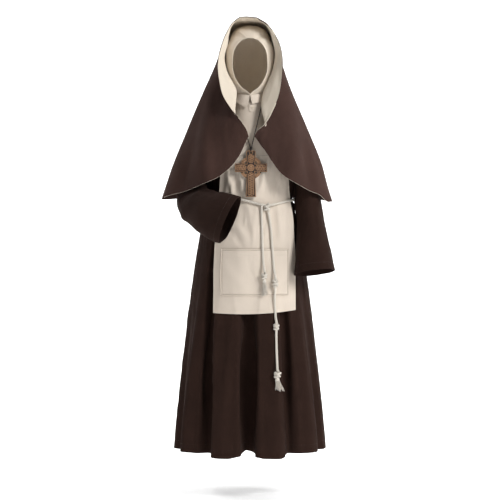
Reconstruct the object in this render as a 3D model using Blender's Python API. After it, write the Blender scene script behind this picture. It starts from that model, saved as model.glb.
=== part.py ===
"""A nun's habit in the hollow form that it takes when it is worn.

Lengths are in metres. +Z is up, the garment faces -Y, and the wearer's left is at +X.
The origin is at the base of the neck, on the line of the shoulders, 1.40 m above the floor.
Each piece of cloth is a grid of points: rows run down the piece, and columns run across it
from the wearer's right to the left on the front, or counter-clockwise seen from above, so
that the cloth's outside is on the outside of the form.
"""

import math

import bmesh
import bpy
import numpy as np

for old_object in list(bpy.data.objects):
    bpy.data.objects.remove(old_object, do_unlink=True)

# Driving sizes
GAP = 0.0003                # between two pieces that touch
TUNIC_THICKNESS = 0.0020
VEIL_THICKNESS = 0.0016
LINING_THICKNESS = 0.0012
COTTON_THICKNESS = 0.0016
HEM_Z = -1.265
SHOULDER_TIP = (0.170, -0.030)      # x, z
NECK_POINT = (0.078, 0.004)         # x, z
UNDERARM_Z = -0.215

TUNIC_FRONT_COLUMNS = 39
TUNIC_BACK_COLUMNS = 29
ARMHOLE_ROWS = 5                    # rows above the ring at the underarm
SLEEVE_COLUMNS = 4 * ARMHOLE_ROWS
SLEEVE_ROWS = 11
VEIL_ROWS = 17
LINING_ROWS = 15                    # rows of the veil that its lining reaches
# Steps of the veil's grid between the control points of a section, from its edge to the middle
VEIL_STEPS = (4, 4, 3, 2, 2)

# Rings of the tunic: height, half width, depth to the front, depth to the back
TUNIC_RINGS = (
    (-0.215, 0.162, 0.120, 0.112),
    (-0.340, 0.154, 0.115, 0.108),
    (-0.400, 0.171, 0.124, 0.122),
    (-0.480, 0.189, 0.137, 0.144),
    (-0.580, 0.205, 0.148, 0.165),
    (-0.700, 0.221, 0.157, 0.181),
    (-0.840, 0.238, 0.166, 0.195),
    (-1.000, 0.256, 0.176, 0.210),
    (-1.140, 0.270, 0.184, 0.222),
    (HEM_Z, 0.280, 0.190, 0.232),
)

# Folds of the skirt: angle from +X in degrees (the front is at -90), half width in degrees,
# depth at the hem (out is positive), height at which the fold begins
SKIRT_FOLDS = (
    (-162.0, 9.0, -0.016, -0.55),
    (-145.0, 9.0, 0.012, -0.50),
    (-127.5, 7.0, -0.034, -0.66),
    (-109.0, 11.0, 0.016, -0.60),
    (-90.5, 8.5, -0.052, -0.74),
    (-73.0, 10.0, 0.018, -0.60),
    (-56.0, 7.5, -0.030, -0.52),
    (-40.0, 9.0, 0.014, -0.45),
    (-23.0, 8.0, -0.016, -0.50),
    (24.0, 10.0, 0.014, -0.50),
    (44.0, 10.0, -0.022, -0.52),
    (65.0, 11.0, 0.018, -0.48),
    (87.0, 11.0, -0.028, -0.58),
    (107.0, 10.0, 0.018, -0.50),
    (128.0, 10.0, -0.022, -0.54),
    (150.0, 10.0, 0.014, -0.50),
)

# Sections of the hanging sleeve: centre, half axis to the outer side, half axis to the back
LEFT_SLEEVE = (
    ((0.188, 0.000, -0.150), (0.018, 0.000, 0.062), (0.000, 0.060, 0.000)),
    ((0.204, -0.004, -0.230), (0.040, 0.000, 0.016), (0.000, 0.060, 0.000)),
    ((0.2155, -0.018, -0.330), (0.0470, 0.000, 0.008), (0.000, 0.060, 0.000)),
    ((0.225, -0.064, -0.430), (0.0545, 0.000, 0.006), (0.000, 0.055, -0.004)),
    ((0.232, -0.102, -0.520), (0.066, 0.000, 0.006), (0.000, 0.056, -0.008)),
    ((0.235, -0.128, -0.597), (0.076, 0.000, 0.009), (0.000, 0.058, -0.012)),
)

# Sections of the bent sleeve: centre, half axis to the hanging side, half axis to the front
RIGHT_SLEEVE = (
    ((-0.192, 0.000, -0.150), (-0.022, 0.000, 0.062), (0.000, -0.060, 0.000)),
    ((-0.2105, 0.000, -0.230), (-0.0465, 0.000, 0.018), (0.000, -0.062, 0.000)),
    ((-0.219, -0.022, -0.297), (-0.056, 0.004, -0.020), (-0.008, -0.060, 0.012)),
    ((-0.203, -0.086, -0.348), (-0.044, 0.022, -0.052), (-0.034, -0.046, 0.012)),
    ((-0.156, -0.152, -0.380), (-0.034, 0.016, -0.071), (-0.038, -0.044, 0.004)),
    ((-0.110, -0.194, -0.400), (-0.028, 0.008, -0.086), (-0.032, -0.044, 0.000)),
    ((-0.071, -0.228, -0.412), (-0.036, 0.004, -0.086), (-0.018, -0.045, -0.002)),
)

# Sections of the veil, from the arc of its front edge over the face down to its hem. Each side
# has the front edge, the valley behind it, the drape in front, and the outer side.
VEIL_RIGHT_SIDE = (
    ((-0.083, -0.125, 0.272), (-0.070, -0.126, 0.292), (-0.058, -0.126, 0.306), (-0.040, -0.127, 0.319)),
    ((-0.103, -0.128, 0.216), (-0.083, -0.098, 0.232), (-0.084, -0.078, 0.262), (-0.066, -0.068, 0.305)),
    ((-0.115, -0.135, 0.154), (-0.095, -0.088, 0.180), (-0.096, -0.040, 0.222), (-0.082, 0.000, 0.284)),
    ((-0.110, -0.145, 0.095), (-0.081, -0.097, 0.122), (-0.114, -0.042, 0.142), (-0.126, 0.020, 0.170)),
    ((-0.097, -0.155, 0.040), (-0.051, -0.102, 0.066), (-0.132, -0.058, 0.066), (-0.163, 0.000, 0.083)),
    ((-0.068, -0.160, -0.008), (-0.056, -0.130, 0.006), (-0.142, -0.085, -0.012), (-0.204, -0.010, -0.012)),
    ((-0.034, -0.160, -0.051), (-0.070, -0.148, -0.060), (-0.154, -0.115, -0.095), (-0.242, -0.015, -0.104)),
    ((-0.013, -0.155, -0.084), (-0.068, -0.154, -0.128), (-0.156, -0.140, -0.186), (-0.284, -0.020, -0.206)),
    ((-0.006, -0.150, -0.108), (-0.057, -0.153, -0.204), (-0.154, -0.150, -0.277), (-0.324, -0.030, -0.328)),
)
VEIL_LEFT_SIDE = (
    ((0.084, -0.125, 0.270), (0.072, -0.126, 0.285), (0.058, -0.126, 0.297), (0.033, -0.127, 0.313)),
    ((0.105, -0.128, 0.226), (0.084, -0.098, 0.240), (0.084, -0.078, 0.266), (0.064, -0.068, 0.303)),
    ((0.115, -0.135, 0.172), (0.093, -0.089, 0.188), (0.096, -0.040, 0.226), (0.080, 0.000, 0.284)),
    ((0.113, -0.145, 0.109), (0.080, -0.097, 0.120), (0.110, -0.042, 0.142), (0.119, 0.020, 0.166)),
    ((0.102, -0.155, 0.040), (0.047, -0.104, 0.044), (0.126, -0.058, 0.062), (0.147, 0.000, 0.080)),
    ((0.079, -0.160, -0.018), (0.044, -0.128, -0.012), (0.136, -0.085, -0.016), (0.187, -0.010, -0.015)),
    ((0.052, -0.160, -0.065), (0.062, -0.148, -0.076), (0.148, -0.115, -0.098), (0.226, -0.015, -0.106)),
    ((0.027, -0.155, -0.088), (0.050, -0.153, -0.124), (0.150, -0.140, -0.186), (0.266, -0.020, -0.206)),
    ((0.017, -0.150, -0.108), (0.057, -0.153, -0.163), (0.136, -0.150, -0.265), (0.302, -0.030, -0.334)),
)
# The middle of the back of each section: x, y, z
VEIL_MIDDLE = (
    (-0.013, -0.128, 0.323),
    (-0.010, -0.070, 0.3205),
    (-0.006, 0.026, 0.3120),
    (-0.002, 0.108, 0.240),
    (0.000, 0.124, 0.140),
    (0.000, 0.138, 0.035),
    (0.000, 0.154, -0.080),
    (0.000, 0.169, -0.200),
    (0.000, 0.182, -0.316),
)

# Sections of the coif, from the arc over the brow down to the neck: edge at the face, side, back
COIF_SECTIONS = (
    ((0.030, -0.104, 0.243), (0.018, -0.106, 0.248), (-0.107, 0.251)),
    ((0.045, -0.103, 0.227), (0.054, -0.072, 0.264), (-0.072, 0.292)),
    ((0.057, -0.101, 0.203), (0.078, -0.036, 0.240), (0.010, 0.3115)),
    ((0.061, -0.099, 0.170), (0.083, -0.010, 0.195), (0.0854, 0.2620)),
    ((0.060, -0.100, 0.135), (0.078, -0.008, 0.145), (0.094, 0.180)),
    ((0.048, -0.102, 0.102), (0.070, -0.006, 0.098), (0.078, 0.110)),
    ((0.030, -0.102, 0.076), (0.066, -0.004, 0.060), (0.068, 0.055)),
    ((0.0004, -0.100, 0.050), (0.065, 0.000, 0.030), (0.068, 0.022)),
    ((0.0004, -0.092, 0.008), (0.068, 0.002, -0.004), (0.072, -0.004)),
)

# Half rings of the collar, from its fold down to its outer edge: half width, front, back,
# height at the side, then height and half angle left open at the right tip and at the left tip
COLLAR_ROWS = (
    (0.0700, 0.1060, 0.0722, 0.054, 0.045, 1.0, 0.046, 1.0),
    (0.0780, 0.1085, 0.0800, 0.041, 0.021, 4.0, 0.031, 3.0),
    (0.0860, 0.1110, 0.0870, 0.028, -0.003, 8.0, 0.013, 5.0),
)

# Rows of the tab below the collar: height below its top, half width
PLACKET_ROWS = ((0.000, 0.0140), (0.018, 0.0140), (0.024, 0.0122), (0.0275, 0.0075))
PLACKET_X = 0.010
PLACKET_TOP_Z = 0.012
BUTTON_RADIUS = 0.0045
BUTTON_Z = 0.0
YOKE_ROWS = ARMHOLE_ROWS - 1
APRON_CENTRE_X = 0.016
APRON_HEM_Z = -0.738
APRON_CLEARANCE = 0.0024
# Half width of the apron at its own heights
APRON_WIDTHS = ((-0.160, 0.118), (-0.300, 0.122), (-0.400, 0.135), (-0.520, 0.145), (-0.740, 0.147))
POCKET_TOP_Z = -0.512
POCKET_BOTTOM_Z = -0.680
POCKET_X = (-0.106, 0.139)

ROPE_RADIUS = 0.0045
BELT_Z = -0.328
BELT_SAG = 0.026
BELT_KNOT = (0.062, -0.362)         # x, z
BELT_KNOT_SIZE = (0.0130, 0.0092, 0.0155)
SHORT_TAIL_X = 0.0415
# Routes of the two free ends between their knots: x, z
SHORT_TAIL = ((0.0432, -0.430), (0.0452, -0.498), (0.0478, -0.560))
LONG_TAIL_TOP = ((0.0752, -0.440), (0.0798, -0.498), (0.0860, -0.580))
LONG_TAIL_MIDDLE = ((0.0885, -0.692), (0.0913, -0.752))
LONG_TAIL_END = ((0.0945, -0.860),)
# Knots of the tails: x, z, half width, half height, length of the tassel below
TAIL_KNOTS = {
    "short": (0.0515, -0.608, 0.0110, 0.0125, 0.062),
    "long_upper": (0.0905, -0.6335, 0.0112, 0.0180, 0.0),
    "long_middle": (0.0940, -0.7900, 0.0110, 0.0135, 0.0),
    "long_lower": (0.0975, -0.9590, 0.0135, 0.0130, 0.055),
}
KNOT_HALF_DEPTH = 0.0092

CROSS_CENTRE = (0.0032, -0.2199)
CROSS_THICKNESS = 0.008
CROSS_TOP = 0.062
CROSS_FOOT = 0.105
CROSS_HALF_SPAN = 0.058
ARM_HALF_HEIGHT = 0.0135
ARM_END_HALF_HEIGHT = 0.0155
SHAFT_HALF_WIDTH = 0.0145
FOOT_HALF_WIDTH = 0.0185
RING_OUTER = 0.041
RING_INNER = 0.029
CORD_HOLE_UP = 0.054
CORD_HOLE_RADIUS = 0.0050
CORD_RADIUS = 0.0018


def spline(points, count, even=False, places=None):
    """Smooth curve through the points, at count places: even in length, or in the points' order.

    Given places count from the first point, at 0, to the last.
    """
    points = np.asarray(points, float)
    ends = (2 * points[:1] - points[1:2], points, 2 * points[-1:] - points[-2:-1])
    padded = np.concatenate(ends)
    if places is None:
        places = np.linspace(0, len(points) - 1, 16 * count if even else count)
    start = np.minimum(places.astype(int), len(points) - 2)
    t = (places - start).reshape((-1,) + (1,) * (points.ndim - 1))
    before, here, there, after = (padded[start + shift] for shift in range(4))
    curve = here + 0.5 * t * (there - before + t * (2 * before - 5 * here + 4 * there - after
                              + t * (3 * (here - there) + after - before)))
    if not even:
        return curve
    lengths = np.concatenate(([0], np.cumsum(np.linalg.norm(np.diff(curve, axis=0), axis=1))))
    wanted = np.linspace(0, lengths[-1], count)
    return np.stack([np.interp(wanted, lengths, curve[:, axis]) for axis in range(3)], axis=1)


def smooth_step(value, low, high):
    """0 below low, 1 above high, and a soft rise between them."""
    t = np.clip((value - low) / (high - low), 0, 1)
    return t * t * (3 - 2 * t)


def normals(grid, closed=False):
    """Outward direction at each point of a grid."""
    if closed:
        across = np.roll(grid, -1, axis=1) - np.roll(grid, 1, axis=1)
    else:
        across = np.gradient(grid, axis=1)
    outward = np.cross(np.gradient(grid, axis=0), across)
    outward /= np.linalg.norm(outward, axis=2, keepdims=True)
    if not closed:
        # A corner where the edge runs on smoothly has no direction of its own
        for row, inner_row in ((0, 1), (-1, -2)):
            for column, inner_column in ((0, 1), (-1, -2)):
                around = outward[row, inner_column] + outward[inner_row, column]
                around = around + outward[inner_row, inner_column]
                outward[row, column] = around / np.linalg.norm(around)
    return outward


def finish(name, mesh, look, sharp_degrees=40):
    """Turn a mesh into a smooth-shaded object with its own material."""
    mesh.validate()
    piece = bpy.data.objects.new(name, mesh)
    bpy.context.collection.objects.link(piece)
    material = bpy.data.materials.new(name + "_material")
    material.use_nodes = True
    shader = material.node_tree.nodes["Principled BSDF"]
    colour, roughness = look
    shader.inputs["Base Color"].default_value = (*colour, 1)
    shader.inputs["Roughness"].default_value = roughness
    shader.inputs["Metallic"].default_value = 0
    mesh.materials.clear()
    mesh.materials.append(material)
    mesh.shade_smooth()
    mesh.set_sharp_from_angle(angle=math.radians(sharp_degrees))
    return piece


def solid(name, points, triangles, look, sharp_degrees=40):
    """Object from points and triangles, turned so that its faces point out."""
    points = np.asarray(points, float)
    triangles = np.asarray(triangles, int)
    a, b, c = (points[triangles[:, corner]] for corner in range(3))
    if np.einsum("ij,ij->i", a, np.cross(b, c)).sum() < 0:
        triangles = triangles[:, ::-1]
    mesh = bpy.data.meshes.new(name)
    mesh.from_pydata(points.tolist(), [], triangles.tolist())
    return finish(name, mesh, look, sharp_degrees)


def wall(name, outer, thickness, look, closed=False, lift=0.0, side=0):
    """Cloth of the given thickness on the inner side of a grid that is moved out by lift.

    A side of -1 or 1 keeps all of the wall in front of or behind the seams at the sides, and
    the first ring of a closed tube stays in the plane of its seam.
    """
    rows, columns = outer.shape[:2]
    outward = normals(outer, closed)
    outer = outer + outward * lift
    inside = outer - outward * thickness
    if closed:
        inside[0, :, 0] = outer[0, :, 0]
    if side:
        inside[:, :, 1] = side * np.maximum(side * inside[:, :, 1], GAP)
    points = np.concatenate((outer.reshape(-1, 3), inside.reshape(-1, 3)))
    inner = rows * columns
    triangles = []

    def quad(a, b, c, d):
        triangles.extend(((a, b, c), (a, c, d)))

    for row in range(rows - 1):
        for column in range(columns if closed else columns - 1):
            beside = (column + 1) % columns
            a, b = row * columns + column, row * columns + beside
            c, d = a + columns, b + columns
            # The diagonals lean the other way on the second half, so both sides are alike
            corners = (a, c, d, b) if 2 * column < columns - 1 else (c, d, b, a)
            quad(*corners)
            first, second, third, fourth = (corner + inner for corner in corners)
            triangles.extend(((first, third, second), (first, fourth, third)))
    for column in range(columns if closed else columns - 1):
        beside = (column + 1) % columns
        quad(column, beside, beside + inner, column + inner)
        a, b = (rows - 1) * columns + column, (rows - 1) * columns + beside
        quad(b, a, a + inner, b + inner)
    if not closed:
        for row in range(rows - 1):
            a, b = row * columns, (row + 1) * columns
            quad(b, a, a + inner, b + inner)
            a, b = a + columns - 1, b + columns - 1
            quad(a, b, b + inner, a + inner)
    return solid(name, points, triangles, look)


def lump(name, centre, half_sizes, look, rings=7, sides=10, squareness=1.0):
    """Rounded solid, such as a knot, with flat ends where the rope goes in."""
    triangles, points = [], []
    for ring in range(rings):
        tilt = math.pi * (0.12 + 0.76 * ring / (rings - 1))
        for side in range(sides):
            turn = 2 * math.pi * side / sides
            across = math.sin(tilt) ** squareness
            points.append((centre[0] + half_sizes[0] * across * math.cos(turn),
                           centre[1] + half_sizes[1] * across * math.sin(turn),
                           centre[2] + half_sizes[2] * math.cos(tilt) / math.cos(0.12 * math.pi)))
    for ring in range(rings - 1):
        for side in range(sides):
            a, b = ring * sides + side, ring * sides + (side + 1) % sides
            triangles.extend(((a, a + sides, b + sides), (a, b + sides, b)))
    last = (rings - 1) * sides
    for side in range(1, sides - 1):
        triangles.append((0, side, side + 1))
        triangles.append((last, last + side + 1, last + side))
    return solid(name, points, triangles, look)


def rope(name, route, radius, look, spacing=2.6, cyclic=False, count=None, straight_ends=False):
    """Round tube with flat ends along a smooth route, with even places or a given count of them.

    With straight ends, the first and the last stretch of the route stay straight.
    """
    if count:
        places = spline(route, count)
    elif straight_ends:
        inner = np.array(route[1:-1])
        length = np.linalg.norm(np.diff(inner, axis=0), axis=1).sum()
        inner = spline(inner, max(4, round(length / (2 * radius * spacing))), even=True)
        places = np.concatenate(([route[0]], inner, [route[-1]]))
    else:
        rough = spline(route, 40, even=True)
        length = np.linalg.norm(np.diff(rough, axis=0), axis=1).sum()
        places = spline(route, min(78, max(6, round(length / (2 * radius * spacing)))), even=True)
    if cyclic:
        places = places[:-1]
    curve = bpy.data.curves.new(name, "CURVE")
    curve.dimensions = "3D"
    curve.bevel_depth = radius
    curve.bevel_resolution = 2
    curve.use_fill_caps = not cyclic
    line = curve.splines.new("POLY")
    line.points.add(len(places) - 1)
    line.use_cyclic_u = cyclic
    for point, place in zip(line.points, places):
        point.co = (*place, 1)
    piece = bpy.data.objects.new(name, curve)
    bpy.context.collection.objects.link(piece)
    material = bpy.data.materials.new(name + "_material")
    material.use_nodes = True
    shader = material.node_tree.nodes["Principled BSDF"]
    shader.inputs["Base Color"].default_value = (*look[0], 1)
    shader.inputs["Roughness"].default_value = look[1]
    curve.materials.append(material)
    return piece


BROWN_WOOL = ((0.040, 0.026, 0.022), 0.90)
BROWN_SLEEVE = ((0.043, 0.028, 0.024), 0.90)
CREAM_COTTON = ((0.74, 0.62, 0.50), 0.90)
CREAM_LINING = ((0.80, 0.74, 0.62), 0.85)
COIF_JERSEY = ((0.70, 0.60, 0.48), 0.88)
WHITE_ROPE = ((0.86, 0.82, 0.76), 0.85)
CARVED_BROWN = ((0.30, 0.16, 0.075), 0.55)
BLACK_CORD = ((0.012, 0.007, 0.005), 0.60)


def tunic_ring(height):
    """Half width, front depth and back depth of the tunic at a height."""
    table = np.array(TUNIC_RINGS)[::-1]
    return [np.interp(height, table[:, 0], table[:, column]) for column in (1, 2, 3)]


def skirt_point(angle, height):
    """Point of the tunic's outside below the underarm, at an angle in degrees from +X."""
    half_width, front, back = tunic_ring(height)
    turn = math.radians(angle)
    push = 0.0
    for centre, half_angle, depth, top in SKIRT_FOLDS:
        if abs(angle - centre) < half_angle:
            shape = 0.5 + 0.5 * math.cos(math.pi * (angle - centre) / half_angle)
            push += depth * shape * smooth_step(-height, -top, -HEM_Z)
    depth_here = back if angle > 0 else front
    return ((half_width + push) * math.cos(turn), (depth_here + push) * math.sin(turn), height)


def yoke_line(share, side):
    """Neckline and shoulder seam of a panel; share goes from -1 to 1, side is -1 at the front."""
    neck_share = 0.5
    x = abs(share)
    if x > neck_share:
        along = (x - neck_share) / (1 - neck_share)
        place = (NECK_POINT[0] + along * (SHOULDER_TIP[0] - NECK_POINT[0]), side * GAP,
                 NECK_POINT[1] + along * (SHOULDER_TIP[1] - NECK_POINT[1]))
    else:
        turn = 0.5 * math.pi * x / neck_share
        depth, drop = (0.0985, -0.016) if side < 0 else (0.086, 0.002)
        place = (NECK_POINT[0] * math.sin(turn), side * (GAP + depth * math.cos(turn)),
                 NECK_POINT[1] - drop * math.cos(turn))
    return (math.copysign(place[0], share), place[1], place[2])


def upper_rows(shares, side):
    """Rows of a panel from the shoulder to the ring at the underarm."""
    half_width, front, back = tunic_ring(UNDERARM_Z)
    reach = front if side < 0 else back
    # half width, depth at the armhole, depth at the middle, height
    steps = ((0.151, 0.040, reach - 0.012, -0.078), (0.148, 0.048, reach - 0.002, -0.146))
    table = [[yoke_line(share, side) for share in shares]]
    for width, edge, middle, height in steps:
        arch = np.sqrt(1 - shares ** 2)
        depth = edge + (middle - edge) * arch
        table.append(np.stack((width * shares, side * depth, np.full(len(shares), height)), axis=1))
    ring = np.stack((half_width * shares, side * (GAP + reach * np.sqrt(1 - shares ** 2)),
                     np.full(len(shares), UNDERARM_Z)), axis=1)
    table.append(ring)
    return spline(np.array(table, float), ARMHOLE_ROWS + 1)


def tunic_panel(columns, side):
    """Front (side -1) or back (side 1) of the tunic, from the shoulders to the hem."""
    seam = math.degrees(GAP / 0.15)
    if side < 0:
        angles = np.linspace(-180 + seam, -seam, columns)
    else:
        angles = np.linspace(seam, 180 - seam, columns)
    shares = np.cos(np.radians(angles))
    top = upper_rows(shares, side)
    lower = [[skirt_point(angle, row[0]) for angle in angles] for row in TUNIC_RINGS[1:]]
    return np.concatenate((top, np.array(lower)))


def sleeve(sections, front, back, side):
    """Tube from the armhole through the sections; side is 1 for the wearer's left sleeve."""
    front_edge = (front[:, -1] if side > 0 else front[:, 0])[:ARMHOLE_ROWS + 1]
    back_edge = (back[:, 0] if side > 0 else back[:, -1])[:ARMHOLE_ROWS + 1]
    first, second = (back_edge, front_edge) if side > 0 else (front_edge, back_edge)
    loop = np.concatenate((first, second[-2:0:-1]))
    loop[0] = 0.5 * (first[0] + second[0])
    loop[ARMHOLE_ROWS] = 0.5 * (first[-1] + second[-1])
    middles = 0.5 * (loop + np.roll(loop, -1, axis=0))
    armhole = np.stack((loop, middles), axis=1).reshape(-1, 3)
    armhole[:, 0] += side * 3 * GAP
    turns = 2 * np.pi * np.arange(SLEEVE_COLUMNS) / SLEEVE_COLUMNS
    rings = [armhole]
    for centre, outer_axis, other_axis in sections:
        rings.append(np.array(centre) + np.outer(np.cos(turns), outer_axis)
                     + np.outer(np.sin(turns), other_axis))
    return spline(np.array(rings), SLEEVE_ROWS)


def veil_grid():
    """Inside of the veil: each row runs from the left front edge round the back to the right."""
    half = [start + step / steps for start, steps in enumerate(VEIL_STEPS) for step in range(steps)]
    places = np.array(half + [5] + [10 - place for place in reversed(half)])
    rows = []
    for right, middle, left in zip(VEIL_RIGHT_SIDE, VEIL_MIDDLE, VEIL_LEFT_SIDE):
        right, left, middle = np.array(right), np.array(left), np.array(middle)
        quarters = []
        for side in (right[-1], left[-1]):
            quarters.append(np.array((middle[0] + 0.72 * (side[0] - middle[0]),
                                      side[1] + 0.72 * (middle[1] - side[1]),
                                      side[2] + 0.72 * (middle[2] - side[2]))))
        points = np.concatenate((right, [quarters[0], middle, quarters[1]], left[::-1]))
        rows.append(spline(points, 0, places=places)[::-1])
    return spline(np.array(rows), VEIL_ROWS)


def coif_grid(rows, columns):
    """Inside of the coif, from the left edge of the face round the head to the right edge."""
    table = []
    for edge, side, (back_y, back_z) in COIF_SECTIONS:
        edge, side = np.array(edge), np.array(side)
        cheek = np.array((0.5 * (edge[0] + side[0]) + 0.16 * side[0], edge[1] + 0.34 * (side[1] - edge[1]),
                          0.5 * (edge[2] + side[2])))
        quarter = np.array((0.72 * side[0], side[1] + 0.72 * (back_y - side[1]),
                            side[2] + 0.72 * (back_z - side[2])))
        left = np.array((edge, cheek, side, quarter))
        right = left * (-1, 1, 1)
        points = np.concatenate((right, [(0, back_y, back_z)], left[::-1]))
        table.append(spline(points, columns, even=True)[::-1])
    return spline(np.array(table), rows)


def collar_grid(columns):
    """Outside of the turned-down collar, open at the front."""
    rows = []
    for half_width, front, back, side_z, right_z, right_open, left_z, left_open in COLLAR_ROWS:
        row = []
        for share in np.linspace(-1, 1, columns):
            # 0 at the middle of the back, 180 degrees at the front
            tip_z, opening = (right_z, right_open) if share < 0 else (left_z, left_open)
            turn = math.radians(share * (180 - opening))
            depth = back * math.cos(turn) if math.cos(turn) > 0 else front * math.cos(turn)
            front_share = smooth_step(-math.cos(turn), -0.2, 1.0)
            row.append((half_width * math.sin(turn), depth, side_z + (tip_z - side_z) * front_share))
        rows.append(row[::-1])
    return np.array(rows)


def depth_on(grid, x, z):
    """Depth of the frontmost triangle of a grid at x and z, or infinity beside the grid."""
    a, b, c, d = grid[:-1, :-1], grid[1:, :-1], grid[1:, 1:], grid[:-1, 1:]
    corners = np.concatenate((np.stack((a, b, c), axis=2).reshape(-1, 3, 3),
                              np.stack((a, c, d), axis=2).reshape(-1, 3, 3)))
    origin, first, second = corners[:, 0], corners[:, 1] - corners[:, 0], corners[:, 2] - corners[:, 0]
    area = first[:, 0] * second[:, 2] - first[:, 2] * second[:, 0]
    area = np.where(np.abs(area) < 1e-12, 1e-12, area)
    dx, dz = x - origin[:, 0], z - origin[:, 2]
    s = (dx * second[:, 2] - dz * second[:, 0]) / area
    t = (first[:, 0] * dz - first[:, 2] * dx) / area
    inside = (s >= -1e-6) & (t >= -1e-6) & (s + t <= 1 + 1e-6)
    depths = origin[:, 1] + s * first[:, 1] + t * second[:, 1]
    return depths[inside].min(initial=math.inf)


def apron_grid(tunic, top_z, columns=19):
    """Outside of the apron, laid on the tunic and hanging straight below the hips."""
    widths = np.array(APRON_WIDTHS)[::-1]
    heights = [top_z, -0.215, -0.278, -0.340, -0.400, -0.440, -0.480, POCKET_TOP_Z, -0.580, -0.640,
               POCKET_BOTTOM_Z, -0.700, APRON_HEM_Z]
    grid = []
    for height in heights:
        half_width = np.interp(height, widths[:, 0], widths[:, 1])
        row = []
        for column, share in enumerate(np.linspace(-1, 1, columns)):
            x = APRON_CENTRE_X + half_width * share
            y = depth_on(tunic, x, height)
            if height < -0.45:
                y = min(y, grid[-1][column][1])
            row.append((x, y, height))
        grid.append(row)
    grid = np.array(grid)
    return grid + normals(grid) * (COTTON_THICKNESS + APRON_CLEARANCE)


def sub_grid(grid, row_places, column_places):
    """Points of a grid at fractional rows and columns."""
    rows = np.array([[np.interp(row_places, np.arange(grid.shape[0]), grid[:, column, axis])
                      for axis in range(3)] for column in range(grid.shape[1])])
    rows = rows.transpose(2, 0, 1)
    return np.array([[[np.interp(place, np.arange(grid.shape[1]), row[:, axis]) for axis in range(3)]
                      for place in column_places] for row in rows])


def pocket_grid(apron):
    """The patch pocket, made from the apron's own points."""
    top = int(np.argmin(np.abs(apron[:, 0, 2] - POCKET_TOP_Z)))
    bottom = int(np.argmin(np.abs(apron[:, 0, 2] - POCKET_BOTTOM_Z)))
    last = apron.shape[1] - 1
    line = apron[top, :, 0]
    start = np.interp(POCKET_X[0], line, np.arange(last + 1))
    end = np.interp(POCKET_X[1], line, np.arange(last + 1))
    inner = [place for place in range(last + 1) if start + 0.3 < place < end - 0.3]
    return sub_grid(apron, np.arange(top, bottom + 1), [start] + inner + [end])


def tassel(name, top, length, top_radius, end_radius, strands, rings):
    """Strands with their roots fused into a head below a knot."""
    mesh = bmesh.new()
    head_length = 0.010
    sides = 10
    levels = [(0.0, 0.55 * top_radius), (-0.35 * head_length, top_radius), (-head_length, top_radius)]
    loops = []
    for drop, radius in levels:
        loops.append([mesh.verts.new((top[0] + radius * math.cos(2 * math.pi * side / sides),
                                      top[1] + radius * math.sin(2 * math.pi * side / sides),
                                      top[2] + drop)) for side in range(sides)])
    for upper, lower in zip(loops, loops[1:]):
        for side in range(sides):
            mesh.faces.new((upper[side - 1], lower[side - 1], lower[side], upper[side]))
    mesh.faces.new(loops[0])
    mesh.faces.new(loops[-1][::-1])
    head_mesh = bpy.data.meshes.new(name)
    mesh.to_mesh(head_mesh)
    mesh.free()
    head = finish(name, head_mesh, WHITE_ROPE)
    all_strands = bmesh.new()
    for index in range(strands):
        ring = index % rings
        turn = 2.399963 * index
        reach = (ring + 0.6) / rings
        thick = 0.0011
        length_here = length * (0.93 + 0.07 * math.cos(1.7 * index))
        path = []
        for share in (0.0, 0.45, 1.0):
            spread = (top_radius - 0.0018) * reach
            spread += (end_radius - top_radius) * reach * share ** 1.3
            wave = 0.0012 * math.sin(2.1 * index + 3 * share) * share
            path.append((top[0] + spread * math.cos(turn) + wave,
                         top[1] + (1 - 0.45 * share) * spread * math.sin(turn),
                         top[2] - 0.7 * head_length - (length_here - 0.7 * head_length) * share))
        corners = [[all_strands.verts.new((place[0] + thick * math.cos(turn + 2.0944 * corner),
                                           place[1] + thick * math.sin(turn + 2.0944 * corner), place[2]))
                    for corner in range(3)] for place in path]
        for upper, lower in zip(corners, corners[1:]):
            for corner in range(3):
                all_strands.faces.new((upper[corner - 1], lower[corner - 1], lower[corner], upper[corner]))
        all_strands.faces.new(corners[0])
        all_strands.faces.new(corners[-1][::-1])
    strand_mesh = bpy.data.meshes.new(name + "_strands")
    all_strands.to_mesh(strand_mesh)
    all_strands.free()
    guide = bpy.data.objects.new(name + "_strands", strand_mesh)
    bpy.context.collection.objects.link(guide)
    guide.hide_render = True
    guide.display_type = "WIRE"
    join = head.modifiers.new("strands", "BOOLEAN")
    join.operation = "UNION"
    join.solver = "EXACT"
    join.use_self = True
    join.object = guide
    return head


def prism(name, outline, y_front, y_back, look=CARVED_BROWN):
    """Flat piece with an outline in the XZ plane."""
    count = len(outline)
    points = [(x, y_front, z) for x, z in outline] + [(x, y_back, z) for x, z in outline]
    mesh = bpy.data.meshes.new(name)
    faces = [tuple(range(count)), tuple(range(2 * count - 1, count - 1, -1))]
    faces += [(side, side + count, (side + 1) % count + count, (side + 1) % count)
              for side in range(count)]
    mesh.from_pydata(points, [], faces)
    shape = bmesh.new()
    shape.from_mesh(mesh)
    bmesh.ops.recalc_face_normals(shape, faces=shape.faces)
    shape.to_mesh(mesh)
    shape.free()
    return finish(name, mesh, look, 30)


def helper(piece):
    """Keep a piece as a cutter or a guide only."""
    piece.hide_render = True
    piece.display_type = "WIRE"
    return piece


def combine(piece, other, operation):
    """Boolean of one piece with a guide."""
    change = piece.modifiers.new(other.name, "BOOLEAN")
    change.operation = operation
    change.solver = "EXACT"
    change.object = helper(other)


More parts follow.
